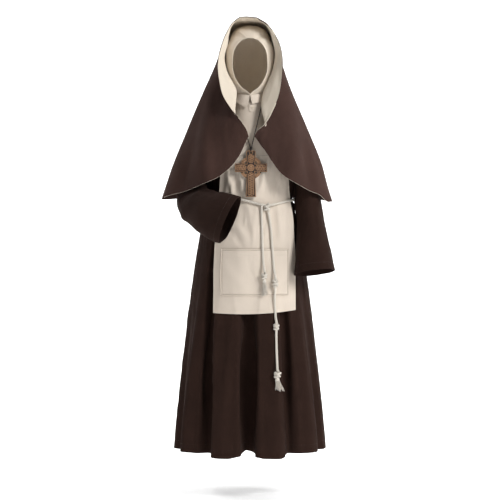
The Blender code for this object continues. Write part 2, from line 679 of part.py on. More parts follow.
def build_cross(y_back):
    """Ring cross, thicker at its body than at its ring."""
    cx, cz = CROSS_CENTRE
    y_front = y_back - CROSS_THICKNESS
    w, a, e, f = SHAFT_HALF_WIDTH, ARM_HALF_HEIGHT, ARM_END_HALF_HEIGHT, FOOT_HALF_WIDTH
    outline = [(-f, -CROSS_FOOT), (f, -CROSS_FOOT), (w, -a), (CROSS_HALF_SPAN, -e), (CROSS_HALF_SPAN, e),
               (w, a), (1.18 * w, CROSS_TOP - 0.010), (1.18 * w, CROSS_TOP - 0.003), (0.8 * w, CROSS_TOP),
               (-0.8 * w, CROSS_TOP), (-1.18 * w, CROSS_TOP - 0.003), (-1.18 * w, CROSS_TOP - 0.010),
               (-w, a), (-CROSS_HALF_SPAN, e), (-CROSS_HALF_SPAN, -e), (-w, -a)]
    cross = prism("cross", [(cx + x, cz + z) for x, z in outline], y_front, y_back)
    sides = 32
    turns = [2 * math.pi * side / sides for side in range(sides)]
    disc = prism("ring_disc", [(cx + RING_OUTER * math.cos(t), cz + RING_OUTER * math.sin(t)) for t in turns],
                 y_front + 0.0015, y_back - 0.0010)
    for sign_x in (-1, 1):
        for sign_z in (-1, 1):
            start = math.asin((a + 0.0005) / RING_INNER)
            end = math.acos((w + 0.0005) / RING_INNER)
            arc = [start + (end - start) * step / 5 for step in range(6)]
            window = [(cx + sign_x * RING_INNER * math.cos(t), cz + sign_z * RING_INNER * math.sin(t))
                      for t in arc]
            window.append((cx + sign_x * (w + 0.0005), cz + sign_z * (a + 0.0005)))
            cutter = prism(f"window_{sign_x}_{sign_z}", window, y_front - 0.01, y_back + 0.01)
            combine(disc, cutter, "DIFFERENCE")
    combine(cross, disc, "UNION")
    hole = [(cx + CORD_HOLE_RADIUS * math.cos(math.pi * side / 6),
             cz + CORD_HOLE_UP + CORD_HOLE_RADIUS * math.sin(math.pi * side / 6)) for side in range(12)]
    combine(cross, prism("cord_hole", hole, y_front - 0.01, y_back + 0.01), "DIFFERENCE")
    return y_front


# The tunic and its sleeves
tunic_front = tunic_panel(TUNIC_FRONT_COLUMNS, -1)
tunic_back = tunic_panel(TUNIC_BACK_COLUMNS, 1)
wall("tunic_front", tunic_front, TUNIC_THICKNESS, BROWN_WOOL, side=-1)
wall("tunic_back", tunic_back, TUNIC_THICKNESS, BROWN_WOOL, side=1)
wall("sleeve_left", sleeve(LEFT_SLEEVE, tunic_front, tunic_back, 1), TUNIC_THICKNESS, BROWN_SLEEVE, True)
wall("sleeve_right", sleeve(RIGHT_SLEEVE, tunic_front, tunic_back, -1), TUNIC_THICKNESS, BROWN_SLEEVE,
     True)

# The cream yoke lies on the top of the tunic's front, and the apron hangs below it
middle = TUNIC_FRONT_COLUMNS // 2
reach = 11
yoke = tunic_front[:YOKE_ROWS + 1, middle - reach:middle + reach + 1]
yoke = yoke + normals(yoke) * (COTTON_THICKNESS + GAP)
wall("yoke", yoke, COTTON_THICKNESS, CREAM_COTTON, side=-1)
placket = []
for drop, half_width in PLACKET_ROWS:
    z = PLACKET_TOP_Z - drop
    placket.append([(PLACKET_X + half_width * share, depth_on(yoke, PLACKET_X + half_width * share, z), z)
                    for share in np.linspace(-1, 1, 5)])
placket = np.array(placket)
placket = placket + normals(placket) * (COTTON_THICKNESS + 2 * GAP)
wall("placket", placket, COTTON_THICKNESS, CREAM_COTTON)
button_back = min(depth_on(placket, PLACKET_X + across, BUTTON_Z + up)
                  for across in (-BUTTON_RADIUS, 0, BUTTON_RADIUS)
                  for up in (-BUTTON_RADIUS, 0, BUTTON_RADIUS)) - GAP
button_outline = [(PLACKET_X + BUTTON_RADIUS * math.cos(math.pi * side / 8),
                   BUTTON_Z + BUTTON_RADIUS * math.sin(math.pi * side / 8)) for side in range(16)]
prism("button", button_outline, button_back - 0.0022, button_back, CREAM_COTTON)
apron = apron_grid(tunic_front, yoke[-1, 0, 2] - 2 * GAP)
wall("apron", apron, COTTON_THICKNESS, CREAM_COTTON)
pocket = pocket_grid(apron)
pocket = pocket + normals(pocket) * (COTTON_THICKNESS + 2 * GAP)
wall("apron_pocket", pocket, COTTON_THICKNESS, CREAM_COTTON)

# The head: coif, collar, and the veil with its lining
wall("coif", coif_grid(9, 23), COTTON_THICKNESS, COIF_JERSEY, lift=COTTON_THICKNESS)
wall("collar", collar_grid(25), COTTON_THICKNESS, CREAM_COTTON)
veil = veil_grid()
wall("veil_lining", veil[:LINING_ROWS], LINING_THICKNESS, CREAM_LINING, lift=LINING_THICKNESS)
wall("veil", veil, VEIL_THICKNESS, BROWN_WOOL, lift=LINING_THICKNESS + 3 * GAP + VEIL_THICKNESS)


def front_of(x, z, lift, reach=0.0, drop=0.0):
    """Point in front of all the cloth round it: reach to each side, and drop below."""
    depths = []
    for layer in (tunic_front, apron, pocket):
        for across in (-reach, 0.0, reach):
            for down in (0.0, 0.5 * drop, drop):
                depths.append(depth_on(layer, x + across, z - down))
    return (x, min(depths) - lift, z)


def hang(points, start, end):
    """Route of a rope between two knots, in front of the cloth through places given by x and z.

    Start and end are where the rope leaves one knot and meets the next, upright at both.
    """
    upright = 0.007
    first, last = np.array(start), np.array(end)
    route = [first, first - (0, 0, upright)]
    depth = start[1] + 0.002
    for x, z in points:
        depth = min(depth, front_of(x, z, ROPE_RADIUS + 0.0010, 0.004, 0.012)[1])
        route.append(np.array((x, depth, z)))
    return route + [last + (0, 0, upright), last]


# The rope belt: it starts at one side of its knot and goes round the back to the other side
belt_width, belt_front, belt_back = (size + 0.0085 for size in tunic_ring(BELT_Z - 0.01))
belt_front += 0.0030
knot_x, knot_z = BELT_KNOT
belt_knot = np.array(front_of(knot_x, knot_z, BELT_KNOT_SIZE[1] + 0.0008, 0.010, 0.0))
knot_turn = math.asin(knot_x / belt_width)
knot_gap = (BELT_KNOT_SIZE[0] - 4 * GAP) / (belt_front * 1.1)
belt_route = []
for step in range(61):
    turn = knot_turn + knot_gap + (2 * math.pi - 2 * knot_gap) * step / 60
    depth = belt_front if math.cos(turn) > 0 else belt_back
    x, y = belt_width * math.sin(turn), -depth * math.cos(turn)
    near = math.exp(-((x - knot_x) / 0.030) ** 2) if y < 0 else 0
    sag = BELT_SAG * math.exp(-((x - knot_x) / 0.075) ** 2) if y < 0 else 0
    belt_route.append((x, y + near * (belt_knot[1] + belt_front * math.cos(knot_turn)), BELT_Z - sag))
rope("belt", belt_route, ROPE_RADIUS, WHITE_ROPE, spacing=2.3)
lump("belt_knot", belt_knot, BELT_KNOT_SIZE, WHITE_ROPE, squareness=0.5)

knots = {}
for knot_name, (x, z, half_width, half_height, fringe) in TAIL_KNOTS.items():
    place = front_of(x, z + half_height, KNOT_HALF_DEPTH + 0.0014, half_width, 2 * half_height + fringe)
    centre = np.array((x, place[1], z))
    lump(f"knot_{knot_name}", centre, (half_width, KNOT_HALF_DEPTH, half_height), WHITE_ROPE,
         squareness=0.7)
    end = np.array((0, 0, half_height + GAP))
    knots[knot_name] = (centre + end, centre - end)
under_knot = belt_knot - (0, 0, BELT_KNOT_SIZE[2] + GAP)
long_start = under_knot + (0.0050, 0, 0)
# The short end comes out from under the belt, beside the knot
belt_front_places = [place for place in belt_route if place[1] < 0]
belt_there = min(belt_front_places, key=lambda place: abs(place[0] - SHORT_TAIL_X))
short_start = np.array((SHORT_TAIL_X, belt_there[1], belt_there[2] - ROPE_RADIUS - 2 * GAP))
for tail_name, places, start, end in (
        ("tail_short", SHORT_TAIL, short_start, knots["short"][0]),
        ("tail_long_top", LONG_TAIL_TOP, long_start, knots["long_upper"][0]),
        ("tail_long_middle", LONG_TAIL_MIDDLE, knots["long_upper"][1], knots["long_middle"][0]),
        ("tail_long_end", LONG_TAIL_END, knots["long_middle"][1], knots["long_lower"][0])):
    rope(tail_name, hang(places, start, end), ROPE_RADIUS, WHITE_ROPE, straight_ends=True)
tassel("tassel_short", knots["short"][1] - (0, 0, GAP), TAIL_KNOTS["short"][4], 0.0075, 0.016, 16, 3)
tassel("tassel_long", knots["long_lower"][1] - (0, 0, GAP), TAIL_KNOTS["long_lower"][4], 0.0085, 0.019,
       20, 3)

# The cross hangs on its neck cord, which is threaded through the hole from front to back
chest = min([depth_on(yoke, CROSS_CENTRE[0], z) for z in (-0.13, -0.15)]
            + [depth_on(apron, CROSS_CENTRE[0], z) for z in (-0.18, -0.21, -0.25, -0.30)])
cross_back = chest - 2 * CORD_RADIUS - 5 * GAP
cross_front = build_cross(cross_back)
hole_x, hole_z = CROSS_CENTRE[0], CROSS_CENTRE[1] + CORD_HOLE_UP
thread_z = hole_z + CORD_HOLE_RADIUS - CORD_RADIUS - 3 * GAP
behind = cross_back + CORD_RADIUS + 3 * GAP
ahead = cross_front - CORD_RADIUS - 4 * GAP
cord_route = [
    (hole_x, 0.5 * (cross_front + cross_back), thread_z),
    (hole_x, cross_front, thread_z - 0.0005),
    (hole_x, ahead, thread_z + 0.0040),
    (hole_x + 0.001, ahead, hole_z + 0.0130),
    (0.012, ahead + 0.0020, -0.120), (0.024, -0.1290, -0.070), (0.037, -0.1150, -0.015),
    (0.053, -0.0860, 0.032), (0.0745, -0.0440, 0.060), (0.0752, 0.0000, 0.067), (0.0540, 0.0545, 0.070),
    (0.000, 0.0750, 0.070), (-0.0540, 0.0545, 0.070), (-0.0752, 0.0000, 0.067), (-0.0740, -0.0440, 0.060),
    (-0.065, -0.0840, 0.014), (-0.050, -0.1050, -0.024), (-0.031, -0.1170, -0.064),
    (-0.010, behind - 0.0010, -0.110),
    (hole_x - 0.001, behind, hole_z + 0.0130),
    (hole_x, behind, thread_z + 0.0040),
    (hole_x, cross_back, thread_z - 0.0005),
    (hole_x, 0.5 * (cross_front + cross_back), thread_z),
]
rope("neck_cord", cord_route, CORD_RADIUS, BLACK_CORD, cyclic=True, count=60)
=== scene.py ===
"""The nun habit in full detail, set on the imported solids.

Lengths are in metres. +Z is up, the garment faces -Y, and the wearer's left is at +X.
The sizes and the tables of the forms are the same as those of the solids.
"""
import math

import bmesh
import bpy
import numpy as np
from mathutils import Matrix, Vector
from mathutils.bvhtree import BVHTree


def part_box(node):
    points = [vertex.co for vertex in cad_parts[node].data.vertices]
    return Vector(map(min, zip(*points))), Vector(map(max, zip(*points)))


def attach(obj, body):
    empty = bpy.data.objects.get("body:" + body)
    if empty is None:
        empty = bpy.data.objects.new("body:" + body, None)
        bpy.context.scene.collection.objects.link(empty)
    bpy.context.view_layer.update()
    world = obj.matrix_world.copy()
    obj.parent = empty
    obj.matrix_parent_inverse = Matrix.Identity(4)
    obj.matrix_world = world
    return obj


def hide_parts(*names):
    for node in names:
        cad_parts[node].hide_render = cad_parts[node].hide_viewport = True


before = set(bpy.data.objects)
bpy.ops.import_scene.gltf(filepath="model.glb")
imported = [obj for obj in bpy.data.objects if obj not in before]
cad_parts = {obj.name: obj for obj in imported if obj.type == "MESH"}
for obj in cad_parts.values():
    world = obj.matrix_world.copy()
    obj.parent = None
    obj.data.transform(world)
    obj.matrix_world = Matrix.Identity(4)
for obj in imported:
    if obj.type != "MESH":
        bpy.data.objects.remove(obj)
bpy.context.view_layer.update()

# Driving sizes
GAP = 0.0003                # between two pieces that touch
TUNIC_THICKNESS = 0.0020
VEIL_THICKNESS = 0.0016
LINING_THICKNESS = 0.0012
COTTON_THICKNESS = 0.0016
HEM_Z = -1.265
SHOULDER_TIP = (0.170, -0.030)      # x, z
NECK_POINT = (0.078, 0.004)         # x, z
UNDERARM_Z = -0.215

TUNIC_FRONT_COLUMNS = 39
TUNIC_BACK_COLUMNS = 29
ARMHOLE_ROWS = 5                    # rows above the ring at the underarm
SLEEVE_COLUMNS = 4 * ARMHOLE_ROWS
SLEEVE_ROWS = 11
VEIL_ROWS = 17
LINING_ROWS = 15                    # rows of the veil that its lining reaches
# Steps of the veil's grid between the control points of a section, from its edge to the middle
VEIL_STEPS = (4, 4, 3, 2, 2)

# Rings of the tunic: height, half width, depth to the front, depth to the back
TUNIC_RINGS = (
    (-0.215, 0.162, 0.120, 0.112),
    (-0.340, 0.154, 0.115, 0.108),
    (-0.400, 0.171, 0.124, 0.122),
    (-0.480, 0.189, 0.137, 0.144),
    (-0.580, 0.205, 0.148, 0.165),
    (-0.700, 0.221, 0.157, 0.181),
    (-0.840, 0.238, 0.166, 0.195),
    (-1.000, 0.256, 0.176, 0.210),
    (-1.140, 0.270, 0.184, 0.222),
    (HEM_Z, 0.280, 0.190, 0.232),
)

# Folds of the skirt: angle from +X in degrees (the front is at -90), half width in degrees,
# depth at the hem (out is positive), height at which the fold begins
SKIRT_FOLDS = (
    (-162.0, 9.0, -0.016, -0.55),
    (-145.0, 9.0, 0.012, -0.50),
    (-127.5, 7.0, -0.034, -0.66),
    (-109.0, 11.0, 0.016, -0.60),
    (-90.5, 8.5, -0.052, -0.74),
    (-73.0, 10.0, 0.018, -0.60),
    (-56.0, 7.5, -0.030, -0.52),
    (-40.0, 9.0, 0.014, -0.45),
    (-23.0, 8.0, -0.016, -0.50),
    (24.0, 10.0, 0.014, -0.50),
    (44.0, 10.0, -0.022, -0.52),
    (65.0, 11.0, 0.018, -0.48),
    (87.0, 11.0, -0.028, -0.58),
    (107.0, 10.0, 0.018, -0.50),
    (128.0, 10.0, -0.022, -0.54),
    (150.0, 10.0, 0.014, -0.50),
)

# Sections of the hanging sleeve: centre, half axis to the outer side, half axis to the back
LEFT_SLEEVE = (
    ((0.188, 0.000, -0.150), (0.018, 0.000, 0.062), (0.000, 0.060, 0.000)),
    ((0.204, -0.004, -0.230), (0.040, 0.000, 0.016), (0.000, 0.060, 0.000)),
    ((0.2155, -0.018, -0.330), (0.0470, 0.000, 0.008), (0.000, 0.060, 0.000)),
    ((0.225, -0.064, -0.430), (0.0545, 0.000, 0.006), (0.000, 0.055, -0.004)),
    ((0.232, -0.102, -0.520), (0.066, 0.000, 0.006), (0.000, 0.056, -0.008)),
    ((0.235, -0.128, -0.597), (0.076, 0.000, 0.009), (0.000, 0.058, -0.012)),
)

# Sections of the bent sleeve: centre, half axis to the hanging side, half axis to the front
RIGHT_SLEEVE = (
    ((-0.192, 0.000, -0.150), (-0.022, 0.000, 0.062), (0.000, -0.060, 0.000)),
    ((-0.2105, 0.000, -0.230), (-0.0465, 0.000, 0.018), (0.000, -0.062, 0.000)),
    ((-0.219, -0.022, -0.297), (-0.056, 0.004, -0.020), (-0.008, -0.060, 0.012)),
    ((-0.203, -0.086, -0.348), (-0.044, 0.022, -0.052), (-0.034, -0.046, 0.012)),
    ((-0.156, -0.152, -0.380), (-0.034, 0.016, -0.071), (-0.038, -0.044, 0.004)),
    ((-0.110, -0.194, -0.400), (-0.028, 0.008, -0.086), (-0.032, -0.044, 0.000)),
    ((-0.071, -0.228, -0.412), (-0.036, 0.004, -0.086), (-0.018, -0.045, -0.002)),
)

# Sections of the veil, from the arc of its front edge over the face down to its hem. Each side
# has the front edge, the valley behind it, the drape in front, and the outer side.
VEIL_RIGHT_SIDE = (
    ((-0.083, -0.125, 0.272), (-0.070, -0.126, 0.292), (-0.058, -0.126, 0.306), (-0.040, -0.127, 0.319)),
    ((-0.103, -0.128, 0.216), (-0.083, -0.098, 0.232), (-0.084, -0.078, 0.262), (-0.066, -0.068, 0.305)),
    ((-0.115, -0.135, 0.154), (-0.095, -0.088, 0.180), (-0.096, -0.040, 0.222), (-0.082, 0.000, 0.284)),
    ((-0.110, -0.145, 0.095), (-0.081, -0.097, 0.122), (-0.114, -0.042, 0.142), (-0.126, 0.020, 0.170)),
    ((-0.097, -0.155, 0.040), (-0.051, -0.102, 0.066), (-0.132, -0.058, 0.066), (-0.163, 0.000, 0.083)),
    ((-0.068, -0.160, -0.008), (-0.056, -0.130, 0.006), (-0.142, -0.085, -0.012), (-0.204, -0.010, -0.012)),
    ((-0.034, -0.160, -0.051), (-0.070, -0.148, -0.060), (-0.154, -0.115, -0.095), (-0.242, -0.015, -0.104)),
    ((-0.013, -0.155, -0.084), (-0.068, -0.154, -0.128), (-0.156, -0.140, -0.186), (-0.284, -0.020, -0.206)),
    ((-0.006, -0.150, -0.108), (-0.057, -0.153, -0.204), (-0.154, -0.150, -0.277), (-0.324, -0.030, -0.328)),
)
VEIL_LEFT_SIDE = (
    ((0.084, -0.125, 0.270), (0.072, -0.126, 0.285), (0.058, -0.126, 0.297), (0.033, -0.127, 0.313)),
    ((0.105, -0.128, 0.226), (0.084, -0.098, 0.240), (0.084, -0.078, 0.266), (0.064, -0.068, 0.303)),
    ((0.115, -0.135, 0.172), (0.093, -0.089, 0.188), (0.096, -0.040, 0.226), (0.080, 0.000, 0.284)),
    ((0.113, -0.145, 0.109), (0.080, -0.097, 0.120), (0.110, -0.042, 0.142), (0.119, 0.020, 0.166)),
    ((0.102, -0.155, 0.040), (0.047, -0.104, 0.044), (0.126, -0.058, 0.062), (0.147, 0.000, 0.080)),
    ((0.079, -0.160, -0.018), (0.044, -0.128, -0.012), (0.136, -0.085, -0.016), (0.187, -0.010, -0.015)),
    ((0.052, -0.160, -0.065), (0.062, -0.148, -0.076), (0.148, -0.115, -0.098), (0.226, -0.015, -0.106)),
    ((0.027, -0.155, -0.088), (0.050, -0.153, -0.124), (0.150, -0.140, -0.186), (0.266, -0.020, -0.206)),
    ((0.017, -0.150, -0.108), (0.057, -0.153, -0.163), (0.136, -0.150, -0.265), (0.302, -0.030, -0.334)),
)
# The middle of the back of each section: x, y, z
VEIL_MIDDLE = (
    (-0.013, -0.128, 0.323),
    (-0.010, -0.070, 0.3205),
    (-0.006, 0.026, 0.3120),
    (-0.002, 0.108, 0.240),
    (0.000, 0.124, 0.140),
    (0.000, 0.138, 0.035),
    (0.000, 0.154, -0.080),
    (0.000, 0.169, -0.200),
    (0.000, 0.182, -0.316),
)

# Sections of the coif, from the arc over the brow down to the neck: edge at the face, side, back
COIF_SECTIONS = (
    ((0.030, -0.104, 0.243), (0.018, -0.106, 0.248), (-0.107, 0.251)),
    ((0.045, -0.103, 0.227), (0.054, -0.072, 0.264), (-0.072, 0.292)),
    ((0.057, -0.101, 0.203), (0.078, -0.036, 0.240), (0.010, 0.3115)),
    ((0.061, -0.099, 0.170), (0.083, -0.010, 0.195), (0.0854, 0.2620)),
    ((0.060, -0.100, 0.135), (0.078, -0.008, 0.145), (0.094, 0.180)),
    ((0.048, -0.102, 0.102), (0.070, -0.006, 0.098), (0.078, 0.110)),
    ((0.030, -0.102, 0.076), (0.066, -0.004, 0.060), (0.068, 0.055)),
    ((0.0004, -0.100, 0.050), (0.065, 0.000, 0.030), (0.068, 0.022)),
    ((0.0004, -0.092, 0.008), (0.068, 0.002, -0.004), (0.072, -0.004)),
)

# Half rings of the collar, from its fold down to its outer edge: half width, front, back,
# height at the side, then height and half angle left open at the right tip and at the left tip
COLLAR_ROWS = (
    (0.0700, 0.1060, 0.0722, 0.054, 0.045, 1.0, 0.046, 1.0),
    (0.0780, 0.1085, 0.0800, 0.041, 0.021, 4.0, 0.031, 3.0),
    (0.0860, 0.1110, 0.0870, 0.028, -0.003, 8.0, 0.013, 5.0),
)

# Rows of the tab below the collar: height below its top, half width
PLACKET_ROWS = ((0.000, 0.0140), (0.018, 0.0140), (0.024, 0.0122), (0.0275, 0.0075))
PLACKET_X = 0.010
PLACKET_TOP_Z = 0.012
BUTTON_RADIUS = 0.0045
BUTTON_Z = 0.0
YOKE_ROWS = ARMHOLE_ROWS - 1
APRON_CENTRE_X = 0.016
APRON_HEM_Z = -0.738
APRON_CLEARANCE = 0.0024
# Half width of the apron at its own heights
APRON_WIDTHS = ((-0.160, 0.118), (-0.300, 0.122), (-0.400, 0.135), (-0.520, 0.145), (-0.740, 0.147))
POCKET_TOP_Z = -0.512
POCKET_BOTTOM_Z = -0.680
POCKET_X = (-0.106, 0.139)

ROPE_RADIUS = 0.0045
BELT_Z = -0.328
BELT_SAG = 0.026
BELT_KNOT = (0.062, -0.362)         # x, z
BELT_KNOT_SIZE = (0.0130, 0.0092, 0.0155)
SHORT_TAIL_X = 0.0415
# Routes of the two free ends between their knots: x, z
SHORT_TAIL = ((0.0432, -0.430), (0.0452, -0.498), (0.0478, -0.560))
LONG_TAIL_TOP = ((0.0752, -0.440), (0.0798, -0.498), (0.0860, -0.580))
LONG_TAIL_MIDDLE = ((0.0885, -0.692), (0.0913, -0.752))
LONG_TAIL_END = ((0.0945, -0.860),)
# Knots of the tails: x, z, half width, half height, length of the tassel below
TAIL_KNOTS = {
    "short": (0.0515, -0.608, 0.0110, 0.0125, 0.062),
    "long_upper": (0.0905, -0.6335, 0.0112, 0.0180, 0.0),
    "long_middle": (0.0940, -0.7900, 0.0110, 0.0135, 0.0),
    "long_lower": (0.0975, -0.9590, 0.0135, 0.0130, 0.055),
}
KNOT_HALF_DEPTH = 0.0092

CROSS_CENTRE = (0.0032, -0.2199)
CROSS_THICKNESS = 0.008
CROSS_TOP = 0.062
CROSS_FOOT = 0.105
CROSS_HALF_SPAN = 0.058
ARM_HALF_HEIGHT = 0.0135
ARM_END_HALF_HEIGHT = 0.0155
SHAFT_HALF_WIDTH = 0.0145
FOOT_HALF_WIDTH = 0.0185
RING_OUTER = 0.041
RING_INNER = 0.029
CORD_HOLE_UP = 0.054
CORD_HOLE_RADIUS = 0.0050
CORD_RADIUS = 0.0018


def spline(points, count, even=False, places=None):
    """Smooth curve through the points, at count places: even in length, or in the points' order.

    Given places count from the first point, at 0, to the last.
    """
    points = np.asarray(points, float)
    ends = (2 * points[:1] - points[1:2], points, 2 * points[-1:] - points[-2:-1])
    padded = np.concatenate(ends)
    if places is None:
        places = np.linspace(0, len(points) - 1, 16 * count if even else count)
    start = np.minimum(places.astype(int), len(points) - 2)
    t = (places - start).reshape((-1,) + (1,) * (points.ndim - 1))
    before, here, there, after = (padded[start + shift] for shift in range(4))
    curve = here + 0.5 * t * (there - before + t * (2 * before - 5 * here + 4 * there - after
                              + t * (3 * (here - there) + after - before)))
    if not even:
        return curve
    lengths = np.concatenate(([0], np.cumsum(np.linalg.norm(np.diff(curve, axis=0), axis=1))))
    wanted = np.linspace(0, lengths[-1], count)
    return np.stack([np.interp(wanted, lengths, curve[:, axis]) for axis in range(3)], axis=1)


def smooth_step(value, low, high):
    """0 below low, 1 above high, and a soft rise between them."""
    t = np.clip((value - low) / (high - low), 0, 1)
    return t * t * (3 - 2 * t)


def normals(grid, closed=False):
    """Outward direction at each point of a grid."""
    if closed:
        across = np.roll(grid, -1, axis=1) - np.roll(grid, 1, axis=1)
    else:
        across = np.gradient(grid, axis=1)
    outward = np.cross(np.gradient(grid, axis=0), across)
    outward /= np.linalg.norm(outward, axis=2, keepdims=True)
    if not closed:
        # A corner where the edge runs on smoothly has no direction of its own
        for row, inner_row in ((0, 1), (-1, -2)):
            for column, inner_column in ((0, 1), (-1, -2)):
                around = outward[row, inner_column] + outward[inner_row, column]
                around = around + outward[inner_row, inner_column]
                outward[row, column] = around / np.linalg.norm(around)
    return outward


def tunic_ring(height):
    """Half width, front depth and back depth of the tunic at a height."""
    table = np.array(TUNIC_RINGS)[::-1]
    return [np.interp(height, table[:, 0], table[:, column]) for column in (1, 2, 3)]


def skirt_point(angle, height):
    """Point of the tunic's outside below the underarm, at an angle in degrees from +X."""
    half_width, front, back = tunic_ring(height)
    turn = math.radians(angle)
    push = 0.0
    for centre, half_angle, depth, top in SKIRT_FOLDS:
        if abs(angle - centre) < half_angle:
            shape = 0.5 + 0.5 * math.cos(math.pi * (angle - centre) / half_angle)
            push += depth * shape * smooth_step(-height, -top, -HEM_Z)
    depth_here = back if angle > 0 else front
    return ((half_width + push) * math.cos(turn), (depth_here + push) * math.sin(turn), height)


def yoke_line(share, side):
    """Neckline and shoulder seam of a panel; share goes from -1 to 1, side is -1 at the front."""
    neck_share = 0.5
    x = abs(share)
    if x > neck_share:
        along = (x - neck_share) / (1 - neck_share)
        place = (NECK_POINT[0] + along * (SHOULDER_TIP[0] - NECK_POINT[0]), side * GAP,
                 NECK_POINT[1] + along * (SHOULDER_TIP[1] - NECK_POINT[1]))
    else:
        turn = 0.5 * math.pi * x / neck_share
        depth, drop = (0.0985, -0.016) if side < 0 else (0.086, 0.002)
        place = (NECK_POINT[0] * math.sin(turn), side * (GAP + depth * math.cos(turn)),
                 NECK_POINT[1] - drop * math.cos(turn))
    return (math.copysign(place[0], share), place[1], place[2])


def upper_rows(shares, side):
    """Rows of a panel from the shoulder to the ring at the underarm."""
    half_width, front, back = tunic_ring(UNDERARM_Z)
    reach = front if side < 0 else back
    # half width, depth at the armhole, depth at the middle, height
    steps = ((0.151, 0.040, reach - 0.012, -0.078), (0.148, 0.048, reach - 0.002, -0.146))
    table = [[yoke_line(share, side) for share in shares]]
    for width, edge, middle, height in steps:
        arch = np.sqrt(1 - shares ** 2)
        depth = edge + (middle - edge) * arch
        table.append(np.stack((width * shares, side * depth, np.full(len(shares), height)), axis=1))
    ring = np.stack((half_width * shares, side * (GAP + reach * np.sqrt(1 - shares ** 2)),
                     np.full(len(shares), UNDERARM_Z)), axis=1)
    table.append(ring)
    return spline(np.array(table, float), ARMHOLE_ROWS + 1)


def tunic_panel(columns, side):
    """Front (side -1) or back (side 1) of the tunic, from the shoulders to the hem."""
    seam = math.degrees(GAP / 0.15)
    if side < 0:
        angles = np.linspace(-180 + seam, -seam, columns)
    else:
        angles = np.linspace(seam, 180 - seam, columns)
    shares = np.cos(np.radians(angles))
    top = upper_rows(shares, side)
    lower = [[skirt_point(angle, row[0]) for angle in angles] for row in TUNIC_RINGS[1:]]
    return np.concatenate((top, np.array(lower)))


def sleeve(sections, front, back, side):
    """Tube from the armhole through the sections; side is 1 for the wearer's left sleeve."""
    front_edge = (front[:, -1] if side > 0 else front[:, 0])[:ARMHOLE_ROWS + 1]
    back_edge = (back[:, 0] if side > 0 else back[:, -1])[:ARMHOLE_ROWS + 1]
    first, second = (back_edge, front_edge) if side > 0 else (front_edge, back_edge)
    loop = np.concatenate((first, second[-2:0:-1]))
    loop[0] = 0.5 * (first[0] + second[0])
    loop[ARMHOLE_ROWS] = 0.5 * (first[-1] + second[-1])
    middles = 0.5 * (loop + np.roll(loop, -1, axis=0))
    armhole = np.stack((loop, middles), axis=1).reshape(-1, 3)
    armhole[:, 0] += side * 3 * GAP
    turns = 2 * np.pi * np.arange(SLEEVE_COLUMNS) / SLEEVE_COLUMNS
    rings = [armhole]
    for centre, outer_axis, other_axis in sections:
        rings.append(np.array(centre) + np.outer(np.cos(turns), outer_axis)
                     + np.outer(np.sin(turns), other_axis))
    return spline(np.array(rings), SLEEVE_ROWS)


def veil_grid():
    """Inside of the veil: each row runs from the left front edge round the back to the right."""
    half = [start + step / steps for start, steps in enumerate(VEIL_STEPS) for step in range(steps)]
    places = np.array(half + [5] + [10 - place for place in reversed(half)])
    rows = []
    for right, middle, left in zip(VEIL_RIGHT_SIDE, VEIL_MIDDLE, VEIL_LEFT_SIDE):
        right, left, middle = np.array(right), np.array(left), np.array(middle)
        quarters = []
        for side in (right[-1], left[-1]):
            quarters.append(np.array((middle[0] + 0.72 * (side[0] - middle[0]),
                                      side[1] + 0.72 * (middle[1] - side[1]),
                                      side[2] + 0.72 * (middle[2] - side[2]))))
        points = np.concatenate((right, [quarters[0], middle, quarters[1]], left[::-1]))
        rows.append(spline(points, 0, places=places)[::-1])
    return spline(np.array(rows), VEIL_ROWS)


def coif_grid(rows, columns):
    """Inside of the coif, from the left edge of the face round the head to the right edge."""
    table = []
    for edge, side, (back_y, back_z) in COIF_SECTIONS:
        edge, side = np.array(edge), np.array(side)
        cheek = np.array((0.5 * (edge[0] + side[0]) + 0.16 * side[0], edge[1] + 0.34 * (side[1] - edge[1]),
                          0.5 * (edge[2] + side[2])))
        quarter = np.array((0.72 * side[0], side[1] + 0.72 * (back_y - side[1]),
                            side[2] + 0.72 * (back_z - side[2])))
        left = np.array((edge, cheek, side, quarter))
        right = left * (-1, 1, 1)
        points = np.concatenate((right, [(0, back_y, back_z)], left[::-1]))
        table.append(spline(points, columns, even=True)[::-1])
    return spline(np.array(table), rows)


def collar_grid(columns):
    """Outside of the turned-down collar, open at the front."""
    rows = []
    for half_width, front, back, side_z, right_z, right_open, left_z, left_open in COLLAR_ROWS:
        row = []
        for share in np.linspace(-1, 1, columns):
            # 0 at the middle of the back, 180 degrees at the front
            tip_z, opening = (right_z, right_open) if share < 0 else (left_z, left_open)
            turn = math.radians(share * (180 - opening))
            depth = back * math.cos(turn) if math.cos(turn) > 0 else front * math.cos(turn)
            front_share = max((0.2 - math.cos(turn)) / 1.2, 0) ** 8
            row.append((half_width * math.sin(turn), depth, side_z + (tip_z - side_z) * front_share))
        rows.append(row[::-1])
    return np.array(rows)


def depth_on(grid, x, z):
    """Depth of the frontmost triangle of a grid at x and z, or infinity beside the grid."""
    a, b, c, d = grid[:-1, :-1], grid[1:, :-1], grid[1:, 1:], grid[:-1, 1:]
    corners = np.concatenate((np.stack((a, b, c), axis=2).reshape(-1, 3, 3),
                              np.stack((a, c, d), axis=2).reshape(-1, 3, 3)))
    origin, first, second = corners[:, 0], corners[:, 1] - corners[:, 0], corners[:, 2] - corners[:, 0]
    area = first[:, 0] * second[:, 2] - first[:, 2] * second[:, 0]
    area = np.where(np.abs(area) < 1e-12, 1e-12, area)
    dx, dz = x - origin[:, 0], z - origin[:, 2]
    s = (dx * second[:, 2] - dz * second[:, 0]) / area
    t = (first[:, 0] * dz - first[:, 2] * dx) / area
    inside = (s >= -1e-6) & (t >= -1e-6) & (s + t <= 1 + 1e-6)
    depths = origin[:, 1] + s * first[:, 1] + t * second[:, 1]
    return depths[inside].min(initial=math.inf)


